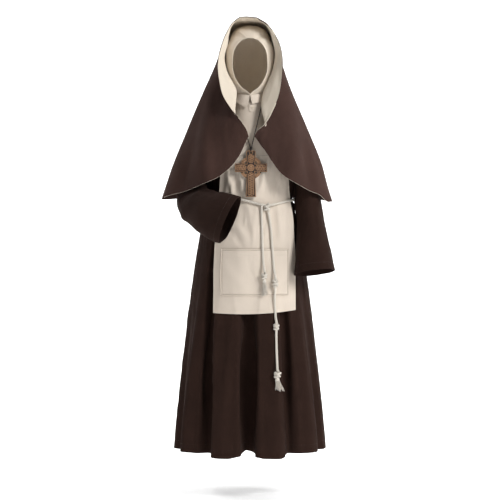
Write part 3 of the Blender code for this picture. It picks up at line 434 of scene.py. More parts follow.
def apron_grid(tunic, top_z, columns=19):
    """Outside of the apron, laid on the tunic and hanging straight below the hips."""
    widths = np.array(APRON_WIDTHS)[::-1]
    heights = [top_z, -0.215, -0.278, -0.340, -0.400, -0.440, -0.480, POCKET_TOP_Z, -0.580, -0.640,
               POCKET_BOTTOM_Z, -0.700, APRON_HEM_Z]
    grid = []
    for height in heights:
        half_width = np.interp(height, widths[:, 0], widths[:, 1])
        row = []
        for column, share in enumerate(np.linspace(-1, 1, columns)):
            x = APRON_CENTRE_X + half_width * share
            y = depth_on(tunic, x, height)
            if height < -0.45:
                y = min(y, grid[-1][column][1])
            row.append((x, y, height))
        grid.append(row)
    grid = np.array(grid)
    return grid + normals(grid) * (COTTON_THICKNESS + APRON_CLEARANCE)


def sub_grid(grid, row_places, column_places):
    """Points of a grid at fractional rows and columns."""
    rows = np.array([[np.interp(row_places, np.arange(grid.shape[0]), grid[:, column, axis])
                      for axis in range(3)] for column in range(grid.shape[1])])
    rows = rows.transpose(2, 0, 1)
    return np.array([[[np.interp(place, np.arange(grid.shape[1]), row[:, axis]) for axis in range(3)]
                      for place in column_places] for row in rows])


def pocket_grid(apron):
    """The patch pocket, made from the apron's own points."""
    top = int(np.argmin(np.abs(apron[:, 0, 2] - POCKET_TOP_Z)))
    bottom = int(np.argmin(np.abs(apron[:, 0, 2] - POCKET_BOTTOM_Z)))
    last = apron.shape[1] - 1
    line = apron[top, :, 0]
    start = np.interp(POCKET_X[0], line, np.arange(last + 1))
    end = np.interp(POCKET_X[1], line, np.arange(last + 1))
    inner = [place for place in range(last + 1) if start + 0.3 < place < end - 0.3]
    return sub_grid(apron, np.arange(top, bottom + 1), [start] + inner + [end])


# Pieces in full detail


def noise(u, v, seed, period=64):
    """Smooth noise from -1 to 1 with a knot at each whole number; u repeats after the period."""
    table = np.random.default_rng(seed).uniform(-1, 1, (64, 64))
    i, j = np.floor(u).astype(int), np.floor(v).astype(int)
    a, b = u - i, v - j
    a, b = a * a * (3 - 2 * a), b * b * (3 - 2 * b)

    def knot(x, y):
        return table[x % period, y % 64]

    upper = knot(i, j) + a * (knot(i + 1, j) - knot(i, j))
    lower = knot(i, j + 1) + a * (knot(i + 1, j + 1) - knot(i, j + 1))
    return upper + b * (lower - upper)


def ridges(u, v, seed, period=64, sharp=0.10):
    """Soft creases from 0 to 1, along the lines where a noise passes through nothing."""
    return 1 - np.sqrt(noise(u, v, seed, period) ** 2 + sharp ** 2)


def fine(grid, rows, columns, closed=False):
    """The same surface with more points."""
    if closed:
        wide = np.concatenate((grid[:, -2:], grid, grid[:, :3]), axis=1)
        places = 2 + grid.shape[1] * np.arange(columns) / columns
    else:
        wide, places = grid, np.linspace(0, grid.shape[1] - 1, columns)
    across = spline(wide.transpose(1, 0, 2), 0, places=places).transpose(1, 0, 2)
    return spline(across, rows)


def laid_folds(x, z, folds):
    """Height of soft folds, each from a start to an end (x, z), with its half width and height."""
    relief = np.zeros_like(x)
    for start, end, width, height in folds:
        start, line = np.array(start), np.array(end) - np.array(start)
        along = np.clip(((x - start[0]) * line[0] + (z - start[1]) * line[1]) / np.dot(line, line), 0, 1)
        distance = np.hypot(x - start[0] - along * line[0], z - start[1] - along * line[1])
        taper = np.sin(np.pi * np.clip(0.12 + 0.76 * along, 0, 1))
        relief += height * taper * np.exp(-(distance / width) ** 2)
    return relief


def run_lengths(grid, axis):
    """Length from the first point of each line of the grid, along rows (0) or columns (1)."""
    steps = np.linalg.norm(np.diff(grid, axis=axis), axis=2)
    start = np.zeros_like(np.take(steps, [0], axis=axis))
    return np.concatenate((start, np.cumsum(steps, axis=axis)), axis=axis)


def unfolded(grid, closed):
    """Flat coordinates in metres for the weave."""
    wide = np.concatenate((grid, grid[:, :1]), axis=1) if closed else grid
    across = run_lengths(wide, 1)
    down = run_lengths(wide, 0)
    middle = wide.shape[1] // 2
    return np.stack((across - across[:, middle:middle + 1], -down), axis=2)


def make_object(name, points, faces, material, uv=None, smooth_degrees=None):
    """Mesh object from arrays; uv holds one coordinate for each corner of each face."""
    mesh = bpy.data.meshes.new(name)
    mesh.from_pydata(np.asarray(points).tolist(), [], np.asarray(faces).tolist()
                     if isinstance(faces, np.ndarray) else faces)
    if uv is not None:
        layer = mesh.uv_layers.new(name="cloth")
        layer.data.foreach_set("uv", np.asarray(uv, float).ravel())
    mesh.validate()
    mesh.materials.append(material)
    mesh.shade_smooth()
    if smooth_degrees:
        mesh.set_sharp_from_angle(angle=math.radians(smooth_degrees))
    piece = bpy.data.objects.new(name, mesh)
    bpy.context.collection.objects.link(piece)
    return piece


def cloth(name, outer, thickness, material, nodes=(), closed=False, lift=0.0, side=0):
    """Thin closed shell whose outside is the grid."""
    rows, columns = outer.shape[:2]
    outward = normals(outer, closed)
    outer = outer + outward * lift
    inner = outer - outward * thickness
    if closed:
        inner[0, :, 0] = outer[0, :, 0]
    if side:
        inner[:, :, 1] = side * np.maximum(side * inner[:, :, 1], GAP)
    points = np.concatenate((outer.reshape(-1, 3), inner.reshape(-1, 3)))
    flat = unfolded(outer, closed)
    index = np.arange(rows * columns).reshape(rows, columns)
    wide = np.concatenate((index, index[:, :1]), axis=1) if closed else index
    place = np.arange(flat.shape[0] * flat.shape[1]).reshape(flat.shape[:2])

    def quads(grid_of_indices):
        a, b = grid_of_indices[:-1, :-1], grid_of_indices[1:, :-1]
        c, d = grid_of_indices[1:, 1:], grid_of_indices[:-1, 1:]
        return np.stack((a, b, c, d), axis=2).reshape(-1, 4)

    shift = rows * columns
    face_sets, uv_sets = [quads(wide), quads(wide)[:, ::-1] + shift], [quads(place), quads(place)[:, ::-1]]

    def rim(line, line_uv):
        first, second = line[:-1], line[1:]
        face_sets.append(np.stack((second, first, first + shift, second + shift), axis=1))
        uv_first, uv_second = line_uv[:-1], line_uv[1:]
        uv_sets.append(np.stack((uv_second, uv_first, uv_first, uv_second), axis=1))

    rim(wide[0], place[0])
    rim(wide[-1][::-1], place[-1][::-1])
    if not closed:
        rim(index[::-1, 0], place[::-1, 0])
        rim(index[:, -1], place[:, -1])
    faces = np.concatenate(face_sets)
    corners = flat.reshape(-1, 2)[np.concatenate(uv_sets).ravel()]
    # Turn all faces out when the grid runs the other way
    a, b, c = (points[faces[:shift, corner]] for corner in range(3))
    piece = make_object(name, points, faces, material, corners)
    check = piece.data
    middle_row, middle_column = rows // 2, columns // 2
    face = check.polygons[min(middle_row * (wide.shape[1] - 1) + middle_column, len(check.polygons) - 1)]
    if face.normal.dot(Vector(outward[middle_row, middle_column])) < 0:
        check.flip_normals()
    check.set_sharp_from_angle(angle=math.radians(60))
    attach(piece, "root")
    if nodes:
        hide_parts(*nodes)
    return piece


def cover(grid):
    """Ray target of a grid."""
    rows, columns = grid.shape[:2]
    index = np.arange(rows * columns).reshape(rows, columns)
    faces = np.stack((index[:-1, :-1], index[1:, :-1], index[1:, 1:], index[:-1, 1:]), axis=2)
    return BVHTree.FromPolygons(grid.reshape(-1, 3).tolist(), faces.reshape(-1, 4).tolist())


def y_in_front(trees, x, z, sign=1):
    """Depth of the first surface met from the front (sign 1) or from the back (sign -1)."""
    found = [tree.ray_cast(Vector((x, -sign, z)), Vector((0, sign, 0)))[0] for tree in trees]
    depths = [sign * hit.y for hit in found if hit is not None]
    return sign * min(depths) if depths else None


def keep_in_front(grid, trees, gap):
    """Move points to at least gap in front of the surfaces behind them."""
    grid = grid.copy()
    for row in grid:
        for point in row:
            depth = y_in_front(trees, point[0], point[2])
            if depth is not None:
                point[1] = min(point[1], depth - gap)
    return grid


def smoothed(grid, turns, weight=0.5):
    """Average each depth with those of its neighbours."""
    grid = grid.copy()
    for _ in range(turns):
        depth = np.pad(grid[:, :, 1], 1, mode="edge")
        around = 0.25 * (depth[:-2, 1:-1] + depth[2:, 1:-1] + depth[1:-1, :-2] + depth[1:-1, 2:])
        grid[:, :, 1] += weight * (around - grid[:, :, 1])
    return grid


def tube(route, radius, sides, closed=False, taper=None, turn=0.0):
    """Points, faces and flat coordinates of a round tube along a route."""
    route = np.asarray(route, float)
    count = len(route)
    if closed:
        along = np.roll(route, -1, axis=0) - np.roll(route, 1, axis=0)
    else:
        along = np.gradient(route, axis=0)
    along /= np.linalg.norm(along, axis=1, keepdims=True)
    first = np.cross(along[0], (0.31, 0.83, 0.47))
    frames = [first / np.linalg.norm(first)]
    for step in range(1, count):
        side = frames[-1] - along[step] * np.dot(frames[-1], along[step])
        frames.append(side / np.linalg.norm(side))
    frames = np.array(frames)
    others = np.cross(along, frames)
    if closed:
        # Spread the twist that is left where the loop meets itself
        end = frames[-1] - along[0] * np.dot(frames[-1], along[0])
        left = math.atan2(np.dot(end, others[0]), np.dot(end, frames[0]))
        back = -left * np.arange(count) / count
        frames, others = (np.cos(back)[:, None] * frames + np.sin(back)[:, None] * others,
                          np.cos(back)[:, None] * others - np.sin(back)[:, None] * frames)
    sizes = radius * (np.ones(count) if taper is None else taper)
    turns = turn + 2 * np.pi * np.arange(sides) / sides
    rings = (route[:, None] + sizes[:, None, None]
             * (np.cos(turns)[None, :, None] * frames[:, None] + np.sin(turns)[None, :, None] * others[:, None]))
    lengths = np.concatenate(([0], np.cumsum(np.linalg.norm(np.diff(route, axis=0), axis=1))))
    faces, uv = [], []
    girth = 2 * math.pi * radius
    for step in range(count if closed else count - 1):
        after = (step + 1) % count
        v, w = lengths[step], lengths[step + 1] if step + 1 < count else lengths[-1]
        for side in range(sides):
            beside = (side + 1) % sides
            faces.append((step * sides + side, step * sides + beside, after * sides + beside,
                          after * sides + side))
            left, right = girth * side / sides, girth * (side + 1) / sides
            uv.extend(((left, v), (right, v), (right, w), (left, w)))
    if not closed:
        faces.append(tuple(range(sides))[::-1])
        faces.append(tuple((count - 1) * sides + side for side in range(sides)))
        uv.extend([(0, 0)] * (2 * sides))
    return rings.reshape(-1, 3), faces, uv


def joined(tubes):
    """One set of points, faces and coordinates from several."""
    points, faces, uv, shift = [], [], [], 0
    for some_points, some_faces, some_uv in tubes:
        points.append(some_points)
        faces.extend(tuple(corner + shift for corner in face) for face in some_faces)
        uv.extend(some_uv)
        shift += len(some_points)
    return np.concatenate(points), faces, uv


def evenly(route, step, smooth=True):
    """Points at even steps along a smooth curve through the route."""
    route = np.asarray(route, float)
    length = np.linalg.norm(np.diff(route, axis=0), axis=1).sum()
    count = max(8, round(length / step))
    if smooth:
        return spline(route, count, even=True)
    lengths = np.concatenate(([0], np.cumsum(np.linalg.norm(np.diff(route, axis=0), axis=1))))
    wanted = np.linspace(0, lengths[-1], count)
    return np.stack([np.interp(wanted, lengths, route[:, axis]) for axis in range(3)], axis=1)


def laid_rope(route, radius, lay_length, strands=3, sides=7, closed=False, phase=0.0):
    """Strands twisted round a route."""
    route = np.asarray(route, float)
    if closed:
        along = np.roll(route, -1, axis=0) - np.roll(route, 1, axis=0)
    else:
        along = np.gradient(route, axis=0)
    along /= np.linalg.norm(along, axis=1, keepdims=True)
    first = np.cross(along[0], (0.31, 0.83, 0.47))
    frames = [first / np.linalg.norm(first)]
    for step in range(1, len(route)):
        side = frames[-1] - along[step] * np.dot(frames[-1], along[step])
        frames.append(side / np.linalg.norm(side))
    frames = np.array(frames)
    others = np.cross(along, frames)
    lengths = np.concatenate(([0], np.cumsum(np.linalg.norm(np.diff(route, axis=0), axis=1))))
    turns = 2 * np.pi * lengths / lay_length
    if closed:
        end = frames[-1] - along[0] * np.dot(frames[-1], along[0])
        left = math.atan2(np.dot(end, others[0]), np.dot(end, frames[0]))
        whole = 2 * math.pi * round(turns[-1] * len(route) / (len(route) - 1) / (2 * math.pi))
        turns = (whole - left) * np.arange(len(route)) / len(route)
    strand_radius = 0.475 * radius
    tubes = []
    for strand in range(strands):
        angle = phase + turns + 2 * math.pi * strand / strands
        offset = (np.cos(angle)[:, None] * frames + np.sin(angle)[:, None] * others) * (radius - strand_radius)
        tubes.append(tube(route + offset, strand_radius, sides, closed))
    return joined(tubes)


def add_piece(name, parts, material, nodes=()):
    """Object from points, faces and coordinates, riding on the part."""
    points, faces, uv = parts
    piece = make_object(name, points, faces, material, uv)
    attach(piece, "root")
    if nodes:
        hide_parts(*nodes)
    return piece


def seam_line(grid, edge, inset):
    """Line on a grid at a distance from one of its edges, with the surface's normals."""
    outward = normals(grid)
    if edge in ("bottom", "right"):
        turned = grid[::-1] if edge == "bottom" else grid[:, ::-1]
        turned_normals = outward[::-1] if edge == "bottom" else outward[:, ::-1]
    else:
        turned, turned_normals = grid, outward
    if edge in ("left", "right"):
        turned, turned_normals = turned.transpose(1, 0, 2), turned_normals.transpose(1, 0, 2)
    lengths = run_lengths(turned, 0)
    line, up = [], []
    for column in range(turned.shape[1]):
        if lengths[-1, column] < inset:
            continue
        line.append([np.interp(inset, lengths[:, column], turned[:, column, axis]) for axis in range(3)])
        up.append([np.interp(inset, lengths[:, column], turned_normals[:, column, axis])
                   for axis in range(3)])
    return np.array(line), np.array(up)


def stitches(name, lines, material, pitch=0.0036, width=0.00032, trim=0.006):
    """Rows of small stitches on the cloth."""
    points, faces, uv = [], [], []
    for line, up in lines:
        lengths = np.concatenate(([0], np.cumsum(np.linalg.norm(np.diff(line, axis=0), axis=1))))
        at = np.arange(trim, lengths[-1] - trim, pitch)
        for place in at:
            ends = []
            for step, size, high in ((0, 0.25, -0.3), (0.3, 1.0, 0.55), (0.7, 1.0, 0.55), (1, 0.25, -0.3)):
                here = place + 0.62 * pitch * step
                centre = np.array([np.interp(here, lengths, line[:, axis]) for axis in range(3)])
                out = np.array([np.interp(here, lengths, up[:, axis]) for axis in range(3)])
                out /= np.linalg.norm(out)
                ends.append((centre + out * width * high, out, size))
            along = ends[-1][0] - ends[0][0]
            along /= np.linalg.norm(along)
            start = len(points)
            for centre, out, size in ends:
                side = np.cross(along, out)
                for turn in range(4):
                    angle = math.pi * (0.25 + 0.5 * turn)
                    points.append(centre + width * size * (math.cos(angle) * side + math.sin(angle) * out))
            for ring in range(3):
                for turn in range(4):
                    a, b = start + 4 * ring + turn, start + 4 * ring + (turn + 1) % 4
                    faces.append((a, a + 4, b + 4, b))
            faces.append((start + 3, start + 2, start + 1, start)[::-1])
            faces.append((start + 12, start + 13, start + 14, start + 15)[::-1])
    uv = [(0, 0)] * sum(len(face) for face in faces)
    return add_piece(name, (np.array(points), faces, uv), material)


# Materials


class Nodes:
    """Short way to make and join shader nodes."""

    def __init__(self, name):
        self.material = bpy.data.materials.new(name)
        self.material.use_nodes = True
        self.tree = self.material.node_tree
        self.shader = self.tree.nodes["Principled BSDF"]

    def add(self, kind, **settings):
        node = self.tree.nodes.new(kind)
        for key, value in settings.items():
            if key in node.bl_rna.properties:
                setattr(node, key, value)
            else:
                node.inputs[key.replace("_", " ")].default_value = value
        return node

    def join(self, source, output, target, socket):
        self.tree.links.new(source.outputs[output], target.inputs[socket])

    def math(self, operation, first, second):
        node = self.add("ShaderNodeMath", operation=operation)
        for position, value in enumerate((first, second)):
            if isinstance(value, tuple):
                self.tree.links.new(value[0].outputs[value[1]], node.inputs[position])
            else:
                node.inputs[position].default_value = value
        return node, 0

    def ramp(self, source, stops):
        node = self.add("ShaderNodeValToRGB")
        elements = node.color_ramp.elements
        while len(elements) < len(stops):
            elements.new(0.5)
        for element, (place, colour) in zip(elements, stops):
            element.position = place
            element.color = (*colour, 1)
        self.tree.links.new(source[0].outputs[source[1]], node.inputs["Fac"])
        return node


def times(colour, factor):
    return tuple(min(1.0, channel * factor) for channel in colour)


def woven(name, colour, thread, bump, roughness, sheen, mottle=0.10, fleck=0.10, diagonal=False,
          sheen_tint=(1, 1, 1)):
    """Cloth of crossed threads, with uneven dye and loose fibre."""
    n = Nodes(name)
    place = n.add("ShaderNodeUVMap", uv_map="cloth")
    solid_place = n.add("ShaderNodeTexCoord")
    scale = 0.314 / thread
    warp = n.add("ShaderNodeTexWave", bands_direction="X", Scale=scale, Distortion=0.6, Detail=1.0,
                 Detail_Scale=2.0)
    weft = n.add("ShaderNodeTexWave", bands_direction="Y", Scale=scale, Distortion=0.6, Detail=1.0,
                 Detail_Scale=2.0)
    for wave in (warp, weft):
        n.join(place, "UV", wave, "Vector")
    crossing = n.math("MULTIPLY", (warp, "Fac"), (weft, "Fac"))
    if diagonal:
        twill = n.add("ShaderNodeTexWave", bands_direction="DIAGONAL", Scale=2.0 * scale)
        n.join(place, "UV", twill, "Vector")
        crossing = n.math("MULTIPLY", crossing, (twill, "Fac"))
    fibre = n.add("ShaderNodeTexNoise", Scale=1100.0, Detail=3.0, Roughness=0.65)
    n.join(solid_place, "Object", fibre, "Vector")
    dye = n.add("ShaderNodeTexNoise", Scale=11.0, Detail=5.0, Roughness=0.6)
    n.join(solid_place, "Object", dye, "Vector")
    slub = n.add("ShaderNodeTexNoise", Scale=1.0, Detail=2.0, Roughness=0.5)
    stretched = n.add("ShaderNodeMapping", Scale=(420.0, 14.0, 1.0))
    n.join(place, "UV", stretched, "Vector")
    n.join(stretched, "Vector", slub, "Vector")
    amount = n.math("MULTIPLY", (fibre, "Fac"), fleck)
    amount = n.math("ADD", amount, n.math("MULTIPLY", (dye, "Fac"), mottle * 2.2))
    amount = n.math("ADD", amount, n.math("MULTIPLY", (slub, "Fac"), 0.5 * fleck))
    amount = n.math("ADD", amount, n.math("MULTIPLY", crossing, 0.6 * fleck))
    middle = 0.5 * fleck + 1.1 * mottle + 0.25 * fleck + 0.12 * fleck
    spread = fleck + mottle
    tones = n.ramp(amount, ((max(0.0, middle - 0.5 * spread), times(colour, 1 - 1.2 * spread)),
                            (min(1.0, middle), colour),
                            (min(1.0, middle + 0.5 * spread), times(colour, 1 + 1.2 * spread))))
    n.join(tones, "Color", n.shader, "Base Color")
    height = n.math("ADD", crossing, n.math("MULTIPLY", (fibre, "Fac"), 0.7))
    relief = n.add("ShaderNodeBump", Strength=bump, Distance=0.00035)
    n.tree.links.new(height[0].outputs[0], relief.inputs["Height"])
    n.join(relief, "Normal", n.shader, "Normal")
    n.shader.inputs["Roughness"].default_value = roughness
    n.shader.inputs["Specular IOR Level"].default_value = 0.08
    n.shader.inputs["Sheen Weight"].default_value = sheen
    n.shader.inputs["Sheen Roughness"].default_value = 0.45
    n.shader.inputs["Sheen Tint"].default_value = (*sheen_tint, 1)
    return n.material


def spun(name, colour, yarn, roughness, bump=0.6):
    """Cotton yarn: fine plies that run slantwise round a strand."""
    n = Nodes(name)
    place = n.add("ShaderNodeUVMap", uv_map="cloth")
    solid_place = n.add("ShaderNodeTexCoord")
    plies = n.add("ShaderNodeTexWave", bands_direction="DIAGONAL", Scale=0.628 / yarn, Distortion=0.8,
                  Detail=2.0, Detail_Scale=1.5)
    n.join(place, "UV", plies, "Vector")
    fuzz = n.add("ShaderNodeTexNoise", Scale=900.0, Detail=4.0, Roughness=0.7)
    n.join(solid_place, "Object", fuzz, "Vector")
    amount = n.math("ADD", n.math("MULTIPLY", (plies, "Fac"), 0.45), n.math("MULTIPLY", (fuzz, "Fac"), 0.55))
    tones = n.ramp(amount, ((0.15, times(colour, 0.78)), (0.5, colour), (0.85, times(colour, 1.08))))
    n.join(tones, "Color", n.shader, "Base Color")
    relief = n.add("ShaderNodeBump", Strength=bump, Distance=0.0005)
    n.tree.links.new(amount[0].outputs[0], relief.inputs["Height"])
    n.join(relief, "Normal", n.shader, "Normal")
    n.shader.inputs["Roughness"].default_value = roughness
    n.shader.inputs["Specular IOR Level"].default_value = 0.2
    n.shader.inputs["Sheen Weight"].default_value = 0.25
    return n.material


def carved(name, colour, dark, roughness):
    """Brown moulded or carved ornament with rubbed high places and darker hollows, the hollows darkened further as
    painted shade; tone varies at random.
    """
    n = Nodes(name)
    solid_place = n.add("ShaderNodeTexCoord")
    grain = n.add("ShaderNodeTexNoise", Scale=1.0, Detail=5.0, Roughness=0.6)
    stretched = n.add("ShaderNodeMapping", Scale=(260.0, 260.0, 45.0))
    n.join(solid_place, "Object", stretched, "Vector")
    n.join(stretched, "Vector", grain, "Vector")
    stain = n.add("ShaderNodeTexNoise", Scale=60.0, Detail=4.0)
    n.join(solid_place, "Object", stain, "Vector")
    amount = n.math("ADD", n.math("MULTIPLY", (grain, "Fac"), 0.5), n.math("MULTIPLY", (stain, "Fac"), 0.5))
    tones = n.ramp(amount, ((0.30, dark), (0.52, colour), (0.75, times(colour, 1.18))))
    n.join(tones, "Color", n.shader, "Base Color")
    relief = n.add("ShaderNodeBump", Strength=0.35, Distance=0.0004)
    n.tree.links.new(amount[0].outputs[0], relief.inputs["Height"])
    n.join(relief, "Normal", n.shader, "Normal")
    n.shader.inputs["Roughness"].default_value = roughness
    return n.material


# The tunic's wool is the veil's brown made about half as bright, as painted shade of the skirt and sleeves.
WOOL_WITH_PAINTED_SHADE = woven("brown_cloth_painted_shade", (0.025, 0.0130, 0.0098), 0.0009, 0.35, 0.95, 0.015, 0.10, 0.22,
             sheen_tint=(0.9, 0.8, 0.75))
VEIL_CLOTH = woven("veil_cloth", (0.050, 0.0275, 0.0225), 0.0008, 0.30, 0.95, 0.02, 0.10, 0.20,
                   sheen_tint=(0.9, 0.8, 0.75))
COTTON = woven("cream_cotton", (0.67, 0.585, 0.495), 0.0007, 0.35, 0.90, 0.04, 0.03, 0.05)
LINING = woven("cream_lining", (0.72, 0.64, 0.53), 0.0005, 0.25, 0.85, 0.05, 0.02, 0.04)
JERSEY = woven("coif_jersey", (0.72, 0.635, 0.53), 0.0006, 0.35, 0.90, 0.05, 0.03, 0.05)
ROPE_COTTON = spun("rope_cotton", (0.70, 0.65, 0.575), 0.0016, 0.85)
CORD_YARN = spun("cord_yarn", (0.022, 0.014, 0.010), 0.0010, 0.60)
CARVED = carved("cross_relief", (0.42, 0.235, 0.125), (0.28, 0.145, 0.070), 0.50)
# The ground between the raised strands: the darker brown of the cross's hollows, pushed nearly black as painted shade
# in its hollows and holes.
CARVED_HOLLOW_AND_SHADE = carved("cross_hollow_brown_and_shade", (0.016, 0.007, 0.003), (0.010, 0.004, 0.002), 0.62)
THREAD_CREAM = spun("thread_cream", (0.66, 0.57, 0.45), 0.0006, 0.8, 0.3)
# The pocket's thread: a tan made much darker, partly its own colour and partly painted shade of the raised seam along
# the pocket's edges.
THREAD_TAN_AND_SEAM_SHADE = spun("thread_tan_and_seam_shade", (0.13, 0.085, 0.05), 0.0006, 0.8, 0.3)
THREAD_BROWN = spun("thread_brown", (0.030, 0.019, 0.016), 0.0006, 0.8, 0.3)
n = Nodes("button_shell")
cloud = n.add("ShaderNodeTexNoise", Scale=220.0, Detail=3.0)
n.join(n.add("ShaderNodeTexCoord"), "Object", cloud, "Vector")
n.join(n.ramp((cloud, "Fac"), ((0.3, (0.62, 0.54, 0.43)), (0.7, (0.74, 0.66, 0.54)))), "Color", n.shader,
       "Base Color")
n.shader.inputs["Roughness"].default_value = 0.3
BUTTON_SHELL = n.material


# The camera stands where the photograph was taken from
camera_data = bpy.data.cameras.new("camera")
camera_data.lens = 1351 / 500 * 36
camera_data.sensor_width = 36
camera = bpy.data.objects.new("camera", camera_data)
camera.location = (0, -5, -0.516)
camera.rotation_euler = (math.pi / 2, 0, 0)
bpy.context.collection.objects.link(camera)
bpy.context.scene.camera = camera

# Tunic
TUNIC_ROWS_FINE, FRONT_COLUMNS_FINE, BACK_COLUMNS_FINE = 151, 181, 141


def tunic_relief(grid, side):
    """Folds and small creases of a panel."""
    z = grid[:, :, 2]
    angle = np.linspace(0, 180, grid.shape[1])[None, :] * np.ones_like(z)
    seed = 3 if side < 0 else 5
    lower = smooth_step(-z, 0.36, 0.80)
    edge = smooth_step(np.minimum(angle, 180 - angle), 0, 6)
    hem_free = 1 - 0.3 * smooth_step(-z, 1.2, 1.26)
    relief = 0.0060 * (ridges(angle / 9.5, z / 0.55, seed) - 0.62) * lower * hem_free
    relief += 0.0022 * ridges(angle / 4.2, z / 0.22, seed + 10, sharp=0.2) * lower * (0.5 + 0.5 * noise(
        angle / 20, z / 0.3, seed + 20))
    relief += 0.0007 * noise(angle / 5, z / 0.03, seed + 30) + 0.0005 * noise(angle / 2, z / 0.012, seed + 40)
    # Gathers above and below the rope
    away = np.abs(z - BELT_Z)
    held = smooth_step(away, 0.010, 0.040) * (1 - smooth_step(away, 0.07, 0.19))
    relief += 0.0038 * held * (0.5 + 0.5 * np.cos(2 * np.pi * (angle / 8.2 + 0.5 * noise(angle / 14, z / 0.1, 7))))
    upper = smooth_step(-z, 0.10, 0.2) * (1 - smooth_step(-z, 0.30, 0.36))
    relief += 0.0015 * ridges(angle / 16 + 3 * z, z / 0.09, seed + 50, sharp=0.2) * upper
    relief = relief * edge * smooth_step(-z, 0.02, 0.12)
    if side < 0:
        for crest, drift, steep, gentle, top, height in SKIRT_CRESTS:
            away = angle - crest - drift * smooth_step(-z, 0.70, 1.26) - 0.9 * noise(z / 0.30, 0 * z, 45)
            reach = np.where(away * steep > 0, abs(steep), gentle)
            relief += height * np.exp(-(away / reach) ** 2) * smooth_step(-z, top, -HEM_Z)
        for valley, drift, reach, top, full, depth in SKIRT_VALLEYS:
            away = angle - valley - drift * smooth_step(-z, 0.70, 1.26) - 0.8 * noise(z / 0.34, 0 * z, 46)
            relief -= depth * np.exp(-(away / reach) ** 4) * smooth_step(-z, top, full) * (
                1 - 0.8 * smooth_step(-z, 0.95, -HEM_Z))
    return relief


# Crests of the skirt's front: angle from the wearer's right seam in degrees, its change down to the
# hem, width of the steep side (negative is towards the wearer's right), width of the gentle side,
# height where it begins, height of the crest at the hem
SKIRT_CRESTS = ((56.1, 6.0, -1.6, 8.0, 0.45, 0.017),
                (81.0, 0.0, 2.0, 7.0, 0.70, 0.012),
                (96.5, 0.0, -2.0, 7.0, 0.70, 0.014),
                (115.7, -1.9, 1.6, 8.0, 0.50, 0.017),
                (147.0, 0.0, 2.2, 6.0, 0.50, 0.009),
                (33.0, 0.0, -2.2, 6.0, 0.50, 0.009))
# Valleys between them: angle, its change, half width in degrees, heights where they begin and are
# full, depth
SKIRT_VALLEYS = ((49.3, 6.6, 5.3, 0.42, 0.62, 0.034),
                 (88.6, 0.0, 6.3, 0.58, 0.74, 0.050),
                 (123.0, -1.9, 4.6, 0.48, 0.70, 0.022))
# Lift of the hem by angle round the front
HEM_LIFT = ((0, 0.020), (35, 0.019), (52, 0.016), (58, 0.012), (66, 0.006), (75, 0.006), (82, 0.014), (88, 0.028), (94, 0.014),
            (100, 0.006), (110, 0.006), (118, 0.016), (150, 0.020), (180, 0.020))
tunic = {}
for name, side, columns in (("front", -1, FRONT_COLUMNS_FINE), ("back", 1, BACK_COLUMNS_FINE)):
    base = spline(tunic_panel(columns, side), TUNIC_ROWS_FINE)
    relief = tunic_relief(base, side)
    degrees = np.linspace(0, 180, columns)
    lift = np.interp(degrees, *zip(*HEM_LIFT)) if side < 0 else np.full(columns, HEM_LIFT[0][1])
    base[:, :, 2] += lift[None, :] * smooth_step(-base[:, :, 2], 0.85, -HEM_Z)
    tunic[name] = base + normals(base) * relief[:, :, None]
    across = np.linspace(-1, 1, columns)[None, :]
    under = np.exp(-((base[:, :, 2] + 0.355) / 0.015) ** 2) + 0.5 * np.exp(-((base[:, :, 2] + 0.298) / 0.020) ** 2)
    tunic[name][:, :, 0] += 0.0160 * under * np.sign(base[:, :, 0]) * smooth_step(np.abs(across), 0.86, 1.0)
    tunic[name][:, :, 1] = side * np.maximum(side * tunic[name][:, :, 1], GAP)
tunic_front, tunic_back = tunic["front"], tunic["back"]
# Both panels take the darkened wool, painted shade of the skirt.
front_cloth = cloth("tunic_front_cloth", tunic_front, TUNIC_THICKNESS, WOOL_WITH_PAINTED_SHADE,
                    ["tunic_front"], side=-1)
back_cloth = cloth("tunic_back_cloth", tunic_back, TUNIC_THICKNESS, WOOL_WITH_PAINTED_SHADE,
                   ["tunic_back"], side=1)

# Sleeves
coarse_front = tunic_panel(39, -1)
coarse_back = tunic_panel(29, 1)


def sleeve_relief(grid, side):
    """Lengthwise folds of a wide sleeve, and creases across it where the arm bends."""
    rows, columns = grid.shape[:2]
    down = np.linspace(0, 1, rows)[:, None] * np.ones((1, columns))
    turn = np.arange(columns)[None, :] / columns * np.ones((rows, 1))
    free = smooth_step(down, 0.05, 0.30)
    seed = 60 if side > 0 else 80
    relief = 0.0085 * (ridges(turn * 5, down * 1.3 + 0.3, seed, 5, 0.12) - 0.55) * free
    relief += 0.0035 * (ridges(turn * 9 + 1.5 * down, down * 3.0, seed + 1, 63) - 0.6) * free
    relief += 0.0009 * noise(turn * 24, down * 30, seed + 2, 24)
    if side < 0:
        bend = np.exp(-((down - 0.52) / 0.20) ** 2)
        relief += 0.0110 * bend * (ridges(turn * 4 + 0.8 * np.sin(6 * down), down * 9, seed + 3, 63, 0.08) - 0.55)
    else:
        bend = np.exp(-((down - 0.42) / 0.24) ** 2)
        relief += 0.0075 * bend * (ridges(turn * 3 + 2.0 * down, down * 6, seed + 3, 63, 0.10) - 0.55)
    relief -= 0.0012
    if side > 0:
        # The inner side lies against the tunic's waist
        inner = np.exp(-((turn - 0.5) / 0.10) ** 2)
        relief = relief * (1 - inner) + 0.0060 * inner * np.exp(-((grid[:, :, 2] + 0.346) / 0.035) ** 2)
    return relief * smooth_step(down, 0.0, 0.12)


# The sleeves take the same wool, darkened as painted shade.
sleeves = {}
for name, table, side in (("left", LEFT_SLEEVE, 1), ("right", RIGHT_SLEEVE, -1)):
    base = fine(sleeve(table, coarse_front, coarse_back, side), 121, 100, closed=True)
    outward = normals(base, True)
    grid = base + outward * sleeve_relief(base, side)[:, :, None]
    sleeves[name] = (grid, cloth(f"sleeve_{name}_cloth", grid, TUNIC_THICKNESS, WOOL_WITH_PAINTED_SHADE,
                                 [f"sleeve_{name}"], closed=True))

